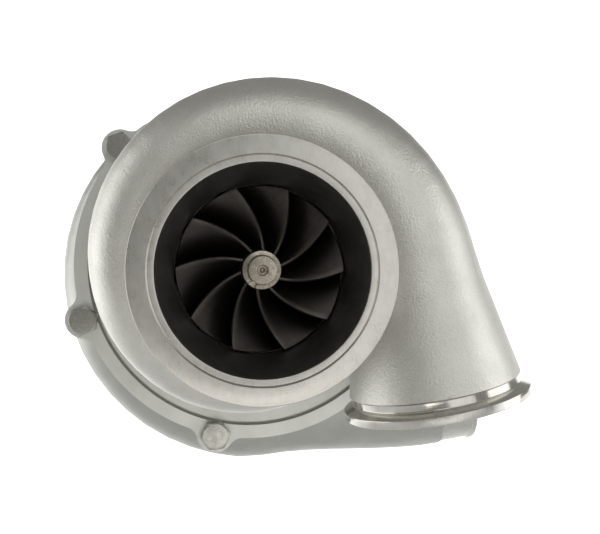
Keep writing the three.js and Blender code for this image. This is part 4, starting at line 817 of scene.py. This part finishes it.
def model_fasteners():
    """The four sorts of screw and the rotor nut."""
    set_screws(
        hex_screw("cover_screw", M8, 17.0), "cover_bolt", 6, M8["head"], 1, (0, 20, 47, 10, 8, 25))
    set_screws(hex_screw("backplate_screw_m5", M5, 13.0), "backplate_screw", 4, M5["head"], 1)
    set_screws(hex_screw("clamp_screw", M6, 11.0), "clamp_bolt", 6, M6["head"], -1)
    locator = hex_screw("locating_screw", M5, 20.4)
    locator = moved(
        locator, polar(31.1, LOCATOR_ANGLE, LOCATOR_Y), polar(-1, LOCATOR_ANGLE, 0))
    finish_piece(locator, "housing", "bearing_locating_screw", 30)
    top = NUT_Y + NUT_HEIGHT
    nut = chamfered(hexagon("rotor_nut_part", NUT_FLATS, NUT_Y, top), NUT_FLATS, NUT_Y, top, True)
    wide = IMPELLER_BORE_R + 0.6
    bore = turned("nut_bore", [
        (0, NUT_Y - 1, 0), (wide, NUT_Y - 1, 0), (IMPELLER_BORE_R, NUT_Y + 0.7, 0),
        (IMPELLER_BORE_R, top - 0.7, 0), (wide, top + 1, 0), (0, top + 1, 0)], 48)
    cut(nut, bore, "EXACT")
    dress(nut, [(FINISHES["zinc_steel"], everywhere)])
    finish_piece(nut, "rotor", "rotor_nut", 30)


# ---- eared plate

EAR_PHASE = 17.9
RIM_R = 86.5
EAR_BOLT_R = 86.0
EAR_R = 9.2
EAR_BLEND_R = 7.0


def eared_slab(name, y0, y1, edge=0.6):
    """A round rim with six bolt ears, drawn as one run of arcs, filled and extruded."""
    reach = RIM_R + EAR_BLEND_R
    apart = EAR_R + EAR_BLEND_R
    lean = math.degrees(math.acos((reach ** 2 + EAR_BOLT_R ** 2 - apart ** 2) / (2 * reach * EAR_BOLT_R)))
    alone(None)
    start = polar(RIM_R, EAR_PHASE - lean, y0)
    bpy.ops.mesh.primitive_plane_add(size=MM, location=here(*start))
    piece = bpy.context.object
    bpy.ops.object.mode_set(mode="EDIT")
    bpy.ops.mesh.select_all(action="SELECT")
    bpy.ops.mesh.merge(type="CENTER")
    for ear in range(6):
        middle = EAR_PHASE + 60 * ear
        bolt = polar(EAR_BOLT_R, middle, y0)
        before = polar(reach, middle - lean, y0)
        after = polar(reach, middle + lean, y0)
        ear_from = math.degrees(math.atan2(before.z - bolt.z, before.x - bolt.x))
        ear_to = math.degrees(math.atan2(after.z - bolt.z, after.x - bolt.x))
        hollow = (middle - lean - ear_from) % 360
        hollow = min(hollow, 360 - hollow)
        arc(piece, before, -hollow, 6)
        arc(piece, bolt, (ear_to - ear_from) % 360, 24)
        arc(piece, after, -hollow, 6)
        arc(piece, Vector((0, y0, 0)), 60 - 2 * lean, 20)
    bpy.ops.mesh.select_all(action="SELECT")
    bpy.ops.mesh.remove_doubles(threshold=2e-5)
    bpy.ops.mesh.edge_face_add()
    bpy.ops.mesh.select_all(action="SELECT")
    bpy.ops.mesh.extrude_region_move(TRANSFORM_OT_translate={"value": (0, (y1 - y0) * MM, 0)})
    bpy.ops.mesh.select_all(action="SELECT")
    bpy.ops.mesh.normals_make_consistent(inside=False)
    if edge:
        mesh = bmesh.from_edit_mesh(piece.data)
        bpy.ops.mesh.select_all(action="DESELECT")
        for e in mesh.edges:
            e.select = abs(e.verts[0].co.y - e.verts[1].co.y) < 1e-7
        bmesh.update_edit_mesh(piece.data)
        bpy.ops.mesh.bevel(offset=edge * MM, segments=2, affect="EDGES")
    return settle(piece, name)


PLATE_RIM_THICK = 8.0
PILOT_R = 63
DISH_DEPTH = 1.8
GROOVE_HALF = 1.4
GROOVE_DEPTH = 2.1
PLATE_BORE_R = 9.5


def model_backplate():
    """The eared plate with its pilot, front dish, grooves and holes."""
    y0, y1 = span_y("compressor_backplate")
    face = y0 + PLATE_RIM_THICK
    plate = eared_slab("backplate", y0, face, 0.5)
    joined(plate, rod("pilot", PILOT_R, y0 + 1, y1, 160, 0.3))
    cut(plate, turned("front_dish", [
        (45, y0 - 1, 0), (80.5, y0 - 1, 0), (79.0, y0 + DISH_DEPTH, 1.2),
        (47, y0 + DISH_DEPTH, 1.2)], 160))
    cut(plate, rod("plate_bore", PLATE_BORE_R, y0 - 2, y1 + 2))
    cut(plate, rod("wheel_recess", IMPELLER_R + 1.5, y1 - 0.8, y1 + 2, 128))
    for r, low, high in ((67.5, face - GROOVE_DEPTH, face + 1), (24.0, y0 - 1, y0 + GROOVE_DEPTH)):
        cut(plate, ring("groove", r - GROOVE_HALF, r + GROOVE_HALF, low, high))
    for hole in bolt_holes("cover_bolt", 6, 4.4, y0 - 2, face + 2):
        cut(plate, hole)
    for hole in bolt_holes("backplate_screw", 4, 2.75, y0 - 2, face - 0.5):
        cut(plate, hole)

    def machined(p, n):
        return abs(n.y) > 0.9 and (p.y > face - 0.5 or cross_radius(p) < 45)

    dress(plate, [(FINISHES["turned_aluminium"], machined), (FINISHES["tumbled_plate"], everywhere)])
    return finish_piece(plate, "housing", "compressor_backplate")


# ---- compressor housing

VOLUTE_INNER_R = 61.0
VOLUTE_FRONT = 119.0
VOLUTE_START = -70            # degrees, at the tongue
VOLUTE_SWEEP = 340
VOLUTE_START_A = 6.53
VOLUTE_END_A = 22.0
VOLUTE_WALL = 4.0
COVER_Y = 112.0               # the cover's joint face
AIR_IN_R = 50.8
AIR_IN_END = 203
AIR_OUT_R = 31.75
AIR_OUT_WALL = 3.2
AIR_OUT_LENGTH = 18           # the turned end of the discharge pipe
AIR_OUT_REACH = 117.8 / AIR_OUT_AXIS.x     # along the duct, from the volute to the pipe's end
BEAD = 0.9                    # how far a hose bead stands out


def volute_section(degrees):
    """The volute's middle and radius at an angle round the shaft."""
    a = lerp(VOLUTE_START_A, VOLUTE_END_A, (degrees - VOLUTE_START) / VOLUTE_SWEEP)
    return polar(VOLUTE_INNER_R + a, degrees, VOLUTE_FRONT + a), a


def volute_stations(wall, end_r, past):
    """The volute from its tongue round to the bottom, and out along the discharge duct."""
    stations = []
    for degrees in steps(VOLUTE_START, 267, 46):
        centre, radius = volute_section(degrees)
        ahead = volute_section(degrees + 0.5)[0] - volute_section(degrees - 0.5)[0]
        stations.append((centre, radius - wall, ahead))
    start, radius = volute_section(VOLUTE_START + VOLUTE_SWEEP)
    for s in steps(0, 1, 8):
        ease = s * s * (3 - 2 * s)
        place = start + AIR_OUT_AXIS * lerp(4, AIR_OUT_REACH - AIR_OUT_LENGTH + past, s)
        stations.append((place, lerp(radius - wall, end_r, ease), AIR_OUT_AXIS))
    return stations


def model_compressor_housing():
    """A lofted volute with its cover, smoothed as one casting, then turned and bored."""
    y0 = COVER_Y
    cast = lofted("compressor_housing_casting", volute_stations(0, AIR_OUT_R + 0.85, 0), 56)
    joined(cast, turned("cover_body", [
        (0, y0, 0), (70, y0, 0), (70, 128, 0), (61, 138, 6), (54.5, 150, 8), (51.6, 160, 4),
        (51.6, 182, 0), (0, 182, 0)]))
    joined(cast, eared_slab("cover_ears", y0, y0 + 12, 0))
    apply_modifier(cast, "REMESH", mode="VOXEL", voxel_size=1.25 * MM)
    apply_modifier(cast, "SMOOTH", factor=0.5, iterations=7)
    cut(cast, rod("trim", 110, y0 - 4, y0))
    joined(cast, eared_slab("cover_face", y0, y0 + 3, 0.3))
    end = AIR_IN_END
    joined(cast, turned("inlet_pipe", [
        (0, 178, 0), (AIR_IN_R, 178, 0), (AIR_IN_R, end - 3.5, 0.2), (AIR_IN_R + 1, end - 2.7, 0.4),
        (AIR_IN_R + 1, end - 0.8, 0.4), (AIR_IN_R, end, 0.2), (0, end, 0)], 160))
    end = AIR_OUT_LENGTH
    pipe = turned("outlet_pipe", [
        (0, -3, 0), (AIR_OUT_R, -3, 0), (AIR_OUT_R, end - 3.1, 0.2), (AIR_OUT_R + BEAD, end - 2.2, 0.4),
        (AIR_OUT_R + BEAD, end - 0.8, 0.4), (AIR_OUT_R, end, 0.2), (0, end, 0)], 128)
    start = volute_section(VOLUTE_START + VOLUTE_SWEEP)[0]
    joined(cast, moved(pipe, start + AIR_OUT_AXIS * (AIR_OUT_REACH - AIR_OUT_LENGTH), AIR_OUT_AXIS))
    shroud = [impeller_shroud_line(u) for u in steps(1, 0, 12)]
    cut(cast, turned("cover_passage", [
        (0, y0 - 2, 0), (63.3, y0 - 2, 0), (63.3, 114.1, 0), (60, 114.1, 0), (60, 118.6, 0),
        (44, 118.6, 0.5), *[(r + 0.45, y + 0.3, 0) for r, y in shroud], (33.2, 152, 6), (47, 172, 8),
        (47, 205, 0), (0, 205, 0)], 160))
    cut(cast, lofted("volute_bore", volute_stations(VOLUTE_WALL, AIR_OUT_R - AIR_OUT_WALL, 22), 40))
    cut(cast, turned("diffuser", [
        (59, 114.2, 0), (66, 114.2, 0), (66, 126, 0), (62, 122.5, 0), (59, 118.6, 0)], 128))
    for hole in bolt_holes("cover_bolt", 6, 4.25, y0 - 2, 122.5):
        cut(cast, hole)

    def pipe_end(p, n):
        return (p - start).dot(AIR_OUT_AXIS) > AIR_OUT_REACH - AIR_OUT_LENGTH + 0.4 and p.x > 60

    def inlet_end(p, n):
        return p.y > 183 or (cross_radius(p) < 49 and p.y > 116)

    def joint_face(p, n):
        return p.y < y0 + 0.4 and abs(n.y) > 0.9

    discharge = lathe_turned(
        "turned_discharge_pipe", "#d3d3ce", "#c4c4bf", (0.24, 0.34), here(*start), AIR_OUT_AXIS)
    dress(cast, [
        (discharge, pipe_end), (FINISHES["turned_aluminium"], inlet_end),
        (FINISHES["turned_aluminium"], joint_face), (FINISHES["cast_aluminium"], everywhere)])
    return finish_piece(cast, "housing", "compressor_housing")


# ---- centre section

def box_between(name, low, high):
    """A block between two corners of the shaft frame, with its edges bevelled."""
    alone(None)
    middle = (Vector(low) + Vector(high)) / 2
    size = Vector(high) - Vector(low)
    bpy.ops.mesh.primitive_cube_add(size=1, location=here(*middle), scale=tuple(size * MM))
    block = settle(bpy.context.object, name)
    apply_modifier(block, "BEVEL", width=4 * MM, segments=5, limit_method="NONE")
    return block


def pillar(name, radius, y, direction, start, end, around=64, edge=0.3):
    """A round boss or hole that stands out of the shaft axis at a place along it."""
    piece = turned(name, [(0, start, 0), (radius, start, 0), (radius, end, edge), (0, end, 0)], around)
    return moved(piece, (0, y, 0), Vector(direction))


UP = Vector((0, 0, 1))
RIGHT = Vector((1, 0, 0))
OIL_IN_Y = 86.4
OIL_OUT_Y = 89.4
OIL_OUT_STUD = 19             # from the drain hole to each stud hole
WATER_Y = 84.9
MATE_Y = 104.0                # the face that meets the backplate


def model_centre_housing():
    """A turned body with its bosses, smoothed as one casting, then faced and bored."""
    locator = polar(1, LOCATOR_ANGLE, 0)
    cast = turned("centre_casting", [
        (0, 68, 0), (38, 68, 0), (38.5, 72, 0), (29, 80, 4), (29, 97, 3), (41.5, 97.3, 1),
        (41.5, MATE_Y - 1, 0), (0, MATE_Y - 1, 0)])
    for boss in (
        pillar("oil_boss", 11, OIL_IN_Y, UP, 10, 37, edge=1.0),
        pillar("drain_neck", 9.5, OIL_OUT_Y, -UP, 10, 40),
        pillar("water_boss_right", 9.5, WATER_Y, RIGHT, 10, 35.4, edge=0.8),
        pillar("water_boss_left", 9.5, WATER_Y, -RIGHT, 10, 35.4, edge=0.8),
        pillar("locator_boss", 5.6, LOCATOR_Y, locator, 10, 30.6, edge=0.5),
        box_between("drain_pad", (-26, 79.4, -41.4), (26, 99.4, -35)),
    ):
        joined(cast, boss)
    apply_modifier(cast, "REMESH", mode="VOXEL", voxel_size=1.0 * MM)
    apply_modifier(cast, "SMOOTH", factor=0.5, iterations=6)
    for face in (
        turned("spigot", [(0, 66, 0), (44, 66, 0.4), (44, 71.9, 0.4), (38, 71.9, 0), (0, 71.9, 0)], 128),
        turned("mate_flange", [(0, 97.0, 0), (42, 97.0, 0.5), (42, MATE_Y, 0.3), (0, MATE_Y, 0)], 128),
        pillar("oil_face", 10.2, OIL_IN_Y, UP, 30, 38),
        pillar("water_face_right", 8.8, WATER_Y, RIGHT, 30, 36),
        pillar("water_face_left", 8.8, WATER_Y, -RIGHT, 30, 36),
        pillar("locator_face", 5.0, LOCATOR_Y, locator, 25, 31),
        box_between("drain_face", (-25.4, 80.0, -42), (25.4, 98.8, -38)),
    ):
        joined(cast, face)
    stud_holes = [
        shifted(pillar("stud_hole", 3.4, OIL_OUT_Y, -UP, 34, 43, 32, 0), side * OIL_OUT_STUD, 0, 0)
        for side in (-1, 1)]
    for hole in (
        turned("centre_bore", [
            (0, 65, 0), (10.5, 65, 0), (10.5, 70.3, 0), (12.1, 70.3, 0), (12.1, 97.6, 0),
            (14, 97.6, 0), (14, MATE_Y + 1, 0), (0, MATE_Y + 1, 0)], 64),
        pillar("oil_hole", 4.0, OIL_IN_Y, UP, 0, 39, 32, 0),
        pillar("drain_hole", 7.5, OIL_OUT_Y, -UP, 0, 43, 48, 0),
        pillar("water_hole_right", 6.0, WATER_Y, RIGHT, 24, 37, 48, 0),
        pillar("water_hole_left", 6.0, WATER_Y, -RIGHT, 24, 37, 48, 0),
        pillar("locator_hole", 2.75, LOCATOR_Y, locator, 0, 32, 32, 0),
        *stud_holes,
        *bolt_holes("backplate_screw", 4, 2.9, 96, MATE_Y + 1),
    ):
        cut(cast, hole)

    def machined(p, n):
        ends = p.y < 72 or cross_radius(p) < 14.2 or p.y > 96.9
        pads = p.z > 37.7 or p.z < -41.7 or abs(p.x) > 35.7
        return ends or pads

    dress(cast, [(FINISHES["machined_iron"], machined), (FINISHES["cast_iron"], everywhere)])
    return finish_piece(cast, "housing", "centre_housing")


CLAMP_PLATES = 3
CLAMP_PLATE_HALF = 50         # degrees each side of a plate's middle


def model_clamp_plates():
    """Arc plates cut from one turned ring, each with two holes and broken edges."""
    for i in range(1, CLAMP_PLATES + 1):
        middle = 90 + 360 / CLAMP_PLATES * (i - 1)
        plate = ring(f"clamp_plate_{i}_part", 41.5, 56, 72, 75, 180)
        for side in (-1, 1):
            alone(plate)
            bpy.ops.object.mode_set(mode="EDIT")
            bpy.ops.mesh.select_all(action="SELECT")
            bpy.ops.mesh.bisect(
                plane_co=here(0, 0, 0), plane_no=polar(1, middle + side * (CLAMP_PLATE_HALF + 90), 0),
                use_fill=True, clear_outer=True)
            bpy.ops.object.mode_set(mode="OBJECT")
        for hole in bolt_holes("clamp_bolt", 6, 3.4, 70, 77):
            place = (hole.data.vertices[0].co / MM) - SHAFT
            away = abs((math.degrees(math.atan2(place.z, place.x)) - middle + 180) % 360 - 180)
            if away < CLAMP_PLATE_HALF:
                cut(plate, hole, "EXACT")
            else:
                bpy.data.objects.remove(hole)
        apply_modifier(
            plate, "BEVEL", width=0.35 * MM, segments=2, limit_method="ANGLE",
            angle_limit=math.radians(60))
        dress(plate, [(FINISHES["sheet_stainless"], everywhere)])
        finish_piece(plate, "housing", f"clamp_plate_{i}", 30)


# The finish of each piece that keeps its CAD shape.
CARRIED = {
    "rotor_shaft": "ground_steel", "turbine_seal_ring": "ground_steel", "heat_shield": "sheet_stainless",
    "bearing_outer_race": "ground_steel", "bearing_inner_race_turbine": "ground_steel",
    "bearing_inner_race_compressor": "ground_steel", "bearing_cage_turbine": "cage_resin",
    "bearing_cage_compressor": "cage_resin", "oil_collar": "ground_steel",
    "compressor_seal_ring": "ground_steel", "backplate_o_ring": "seal_rubber", "cover_o_ring": "seal_rubber",
}


def finish_inner_nodes():
    """The pieces inside keep their CAD shape and get their own finish."""
    for name, node in frame["nodes"].items():
        finish = "ground_steel" if name.startswith("bearing_ball") else CARRIED.get(name)
        if finish:
            node.data.materials.clear()
            node.data.materials.append(FINISHES[finish])


# ---- stage

def backdrop_material():
    """A matt white sheet that glows more and more towards the back."""
    material, tree, shader, place = new_material("white_backdrop", 0.0)
    tint = add_node(tree, "ShaderNodeTexNoise", {
        "Vector": place, "Scale": 1 / (600.0 * MM), "Detail": 3.0})
    colour = add_node(tree, "ShaderNodeValToRGB", {"Fac": tint}, stops=[
        (0.3, linear("#e6e6e6")), (0.7, linear("#e9e9e9"))])
    depth = add_node(tree, "ShaderNodeSeparateXYZ", {0: place}, "Y")
    glow = add_node(tree, "ShaderNodeMapRange", {
        "Value": depth, "From Min": 0.1, "From Max": 0.6, "To Min": 0.12, "To Max": 0.98})
    tree.links.new(colour, shader.inputs["Base Color"])
    tree.links.new(glow, shader.inputs["Emission Strength"])
    shader.inputs["Emission Color"].default_value = (1, 1, 1, 1)
    shader.inputs["Roughness"].default_value = 0.9
    return material


def emitter(name, place, aim, size, radiance, tint=(1, 1, 1)):
    """A soft box: an area lamp of a set brightness that looks at a point."""
    alone(None)
    turn = (Vector(aim) - Vector(place)).to_track_quat("-Z", "Y").to_euler()
    bpy.ops.object.light_add(type="AREA", location=place, rotation=turn)
    lamp = bpy.context.object
    lamp.name = name
    lamp.visible_camera = False
    lamp.data.shape = "RECTANGLE"
    lamp.data.size, lamp.data.size_y = size
    lamp.data.color = tint
    lamp.data.energy = radiance * math.pi * size[0] * size[1]
    return lamp


FLOOR_DROP = 0.25             # metres from the object's lowest point to the floor
BACKDROP_RISE = 1.85
# Each soft box: its place, its width and height in metres, and its radiance.
SOFT_BOXES = {
    "front_soft_box": ((0.5, -1.5, 0.1), (1.0, 1.1), 0.75),
    "left_soft_box": ((-1.1, 0.1, 0.15), (0.9, 1.2), 1.25),
    "right_soft_box": ((1.05, -0.25, 0.15), (0.8, 1.2), 1.5),
    "top_soft_box": ((0.05, -0.9, 0.8), (1.1, 0.45), 1.1),
}
LOW_BOX = ((-0.1, -0.8, -0.26), (0.6, 0.12), 1.5)
CAMERA_PLACE = (-18.523, -295.609, 7.768)
CAMERA_FORWARD = (0.10684, 0.99405, -0.02125)
CAMERA_UP = (0.00227, 0.02112, 0.99977)
CAMERA_LENS = 48.0
CAMERA_SENSOR = 36.0


def build_backdrop():
    """A sheet on the floor that curves up behind the object."""
    low, high = cad_box
    alone(None)
    bpy.ops.mesh.primitive_plane_add(size=1, location=(0, 1.2, low[2] - FLOOR_DROP))
    floor = bpy.context.object
    bpy.ops.object.mode_set(mode="EDIT")
    bpy.ops.transform.resize(value=(9, 5, 1))
    mesh = bmesh.from_edit_mesh(floor.data)
    far = max(v.co.y for v in mesh.verts)
    for vertex in mesh.verts:
        vertex.select = vertex.co.y > far - 1e-4
    mesh.select_flush_mode()
    bmesh.update_edit_mesh(floor.data)
    bpy.ops.mesh.extrude_region_move(TRANSFORM_OT_translate={"value": (0, 0, BACKDROP_RISE)})
    bpy.ops.mesh.select_all(action="SELECT")
    bpy.ops.mesh.normals_make_consistent(inside=False)
    settle(floor, "backdrop")
    apply_modifier(
        floor, "BEVEL", width=0.7, segments=12, limit_method="ANGLE", angle_limit=math.radians(40))
    floor.data.materials.append(backdrop_material())
    smooth(floor, 40)


def build_camera():
    """The camera, close in front and a little to the left of the shaft."""
    data = bpy.data.cameras.new("camera")
    camera = bpy.data.objects.new("camera", data)
    bpy.context.scene.collection.objects.link(camera)
    data.lens = CAMERA_LENS
    data.sensor_width = CAMERA_SENSOR
    data.clip_start = 0.01
    forward = Vector(CAMERA_FORWARD).normalized()
    right = forward.cross(Vector(CAMERA_UP).normalized()).normalized()
    turn = Matrix((right, right.cross(forward), -forward)).transposed().to_4x4()
    camera.matrix_world = Matrix.Translation(here(*CAMERA_PLACE)) @ turn
    bpy.context.scene.camera = camera


def build_stage(look):
    """The backdrop, the room's light, the soft boxes and the camera."""
    build_backdrop()
    world = bpy.context.scene.world or bpy.data.worlds.new("studio")
    bpy.context.scene.world = world
    world.use_nodes = True
    room = world.node_tree.nodes["Background"]
    room.inputs["Color"].default_value = linear("#fafaf4")
    room.inputs["Strength"].default_value = look.world_strength
    aim = here(0, 40, 0)
    for name, (place, size, radiance) in SOFT_BOXES.items():
        emitter(name, place, aim, size, radiance)
    place, size, radiance = LOW_BOX
    emitter("low_soft_box", place, aim, size, radiance, look.lamp_tint)
    build_camera()
    bpy.context.scene.view_settings.view_transform = "Standard"


# ---- add-on

def colour_setting(name, hex_colour):
    """A colour that the user can change."""
    return FloatVectorProperty(
        name=name, description=f"Colour of the {name.lower()}", subtype="COLOR", size=3, min=0, max=1,
        default=linear(hex_colour)[:3])


class TurboSizes(bpy.types.PropertyGroup):
    """Counts and angles of the wheels' blades"""
    turbine_blades: IntProperty(
        name="Turbine blades", description="Number of turbine blades", default=10, min=3, max=16)
    compressor_blades: IntProperty(
        name="Compressor blades", description="Number of full compressor blades", default=7, min=3,
        max=12)
    edge_lean: FloatProperty(
        name="Edge lean", description="How far the turbine's outlet edge sweeps from root to tip",
        subtype="ANGLE", default=math.radians(28))
    wrap: FloatProperty(
        name="Wrap", description="How far a turbine blade turns from outlet to inlet",
        subtype="ANGLE", default=math.radians(76))


class TurboLook(bpy.types.PropertyGroup):
    """Colours of the main finishes, and the studio's light"""
    casting_light: colour_setting("Blasted casting, lighter grain", "#dddcd7")
    casting_dark: colour_setting("Blasted casting, darker grain", "#d0cfc9")
    wheel_light: colour_setting("Turbine wheel, lighter grain", "#5c5854")
    wheel_dark: colour_setting("Turbine wheel, darker grain", "#4a4643")
    cover_light: colour_setting("Compressor housing, lighter grain", "#bdbeb9")
    cover_dark: colour_setting("Compressor housing, darker grain", "#b1b2ad")
    plate_light: colour_setting("Backplate, lighter grain", "#dedfda")
    plate_dark: colour_setting("Backplate, darker grain", "#d3d4cf")
    screw_light: colour_setting("Screws, lighter grain", "#bab9b3")
    screw_dark: colour_setting("Screws, darker grain", "#a09f99")
    lamp_tint: colour_setting("Low soft box", "#fff9f4")
    world_strength: FloatProperty(
        name="Room", description="Brightness of the room round the lights", default=0.3, min=0.0)


class TURBO_OT_finishes(bpy.types.Operator):
    """Makes every finish"""
    bl_idname = "turbo.finishes"
    bl_label = "Finishes"

    def execute(self, context):
        make_finishes(context.scene.turbo_look)
        return {"FINISHED"}


class TURBO_OT_stage(bpy.types.Operator):
    """Makes the backdrop, the soft lights and the camera"""
    bl_idname = "turbo.stage"
    bl_label = "Stage"

    def execute(self, context):
        build_stage(context.scene.turbo_look)
        return {"FINISHED"}


class TURBO_OT_turbine_housing(bpy.types.Operator):
    """Models the turbine housing with its scroll and flanges"""
    bl_idname = "turbo.turbine_housing"
    bl_label = "Turbine housing"

    def execute(self, context):
        model_turbine_housing()
        return {"FINISHED"}


class TURBO_OT_turbine_wheel(bpy.types.Operator):
    """Models the turbine wheel"""
    bl_idname = "turbo.turbine_wheel"
    bl_label = "Turbine wheel"

    def execute(self, context):
        model_turbine_wheel(context.scene.turbo_sizes)
        return {"FINISHED"}


class TURBO_OT_centre_housing(bpy.types.Operator):
    """Models the bearing housing with its oil and water pads"""
    bl_idname = "turbo.centre_housing"
    bl_label = "Centre housing"

    def execute(self, context):
        model_centre_housing()
        return {"FINISHED"}


class TURBO_OT_clamp_plates(bpy.types.Operator):
    """Models the three arc plates that clamp the turbine housing"""
    bl_idname = "turbo.clamp_plates"
    bl_label = "Clamp plates"

    def execute(self, context):
        model_clamp_plates()
        return {"FINISHED"}


class TURBO_OT_backplate(bpy.types.Operator):
    """Models the eared compressor backplate"""
    bl_idname = "turbo.backplate"
    bl_label = "Backplate"

    def execute(self, context):
        model_backplate()
        return {"FINISHED"}


class TURBO_OT_compressor_wheel(bpy.types.Operator):
    """Models the compressor wheel with its full and splitter blades"""
    bl_idname = "turbo.compressor_wheel"
    bl_label = "Compressor wheel"

    def execute(self, context):
        model_compressor_wheel(context.scene.turbo_sizes)
        return {"FINISHED"}


class TURBO_OT_compressor_housing(bpy.types.Operator):
    """Models the compressor housing with its volute and pipes"""
    bl_idname = "turbo.compressor_housing"
    bl_label = "Compressor housing"

    def execute(self, context):
        model_compressor_housing()
        return {"FINISHED"}


class TURBO_OT_fasteners(bpy.types.Operator):
    """Models the screws and the rotor nut"""
    bl_idname = "turbo.fasteners"
    bl_label = "Fasteners"

    def execute(self, context):
        model_fasteners()
        return {"FINISHED"}


class TURBO_OT_inner_pieces(bpy.types.Operator):
    """Gives the bearing, shaft and seal pieces their finishes"""
    bl_idname = "turbo.inner_pieces"
    bl_label = "Inner pieces"

    def execute(self, context):
        finish_inner_nodes()
        return {"FINISHED"}


OPERATORS = (
    TURBO_OT_finishes, TURBO_OT_stage, TURBO_OT_turbine_housing, TURBO_OT_turbine_wheel,
    TURBO_OT_centre_housing, TURBO_OT_clamp_plates, TURBO_OT_backplate, TURBO_OT_compressor_wheel,
    TURBO_OT_compressor_housing, TURBO_OT_fasteners, TURBO_OT_inner_pieces,
)


class TURBO_PT_pieces(bpy.types.Panel):
    """Lists the pieces in the 3D view's sidebar"""
    bl_idname = "TURBO_PT_pieces"
    bl_label = "Turbocharger"
    bl_space_type = "VIEW_3D"
    bl_region_type = "UI"
    bl_category = "Turbo"

    def draw(self, context):
        for group in (context.scene.turbo_sizes, context.scene.turbo_look):
            for name in group.bl_rna.properties.keys():
                if name not in ("rna_type", "name"):
                    self.layout.prop(group, name)
        for operator in OPERATORS:
            self.layout.operator(operator.bl_idname)


CLASSES = (TurboSizes, TurboLook, *OPERATORS, TURBO_PT_pieces)


def register():
    """Registers the classes and hangs the settings on the scene."""
    for cls in CLASSES:
        bpy.utils.register_class(cls)
    bpy.types.Scene.turbo_sizes = PointerProperty(type=TurboSizes)
    bpy.types.Scene.turbo_look = PointerProperty(type=TurboLook)


def unregister():
    """Takes the settings and the classes away again."""
    del bpy.types.Scene.turbo_look
    del bpy.types.Scene.turbo_sizes
    for cls in reversed(CLASSES):
        bpy.utils.unregister_class(cls)


def main():
    """Models every piece in order."""
    register()
    bpy.ops.turbo.finishes()
    bpy.ops.turbo.stage()
    bpy.ops.turbo.turbine_housing()
    bpy.ops.turbo.turbine_wheel()
    bpy.ops.turbo.centre_housing()
    bpy.ops.turbo.clamp_plates()
    bpy.ops.turbo.backplate()
    bpy.ops.turbo.compressor_wheel()
    bpy.ops.turbo.compressor_housing()
    bpy.ops.turbo.fasteners()
    bpy.ops.turbo.inner_pieces()


if __name__ == "__main__":
    main()
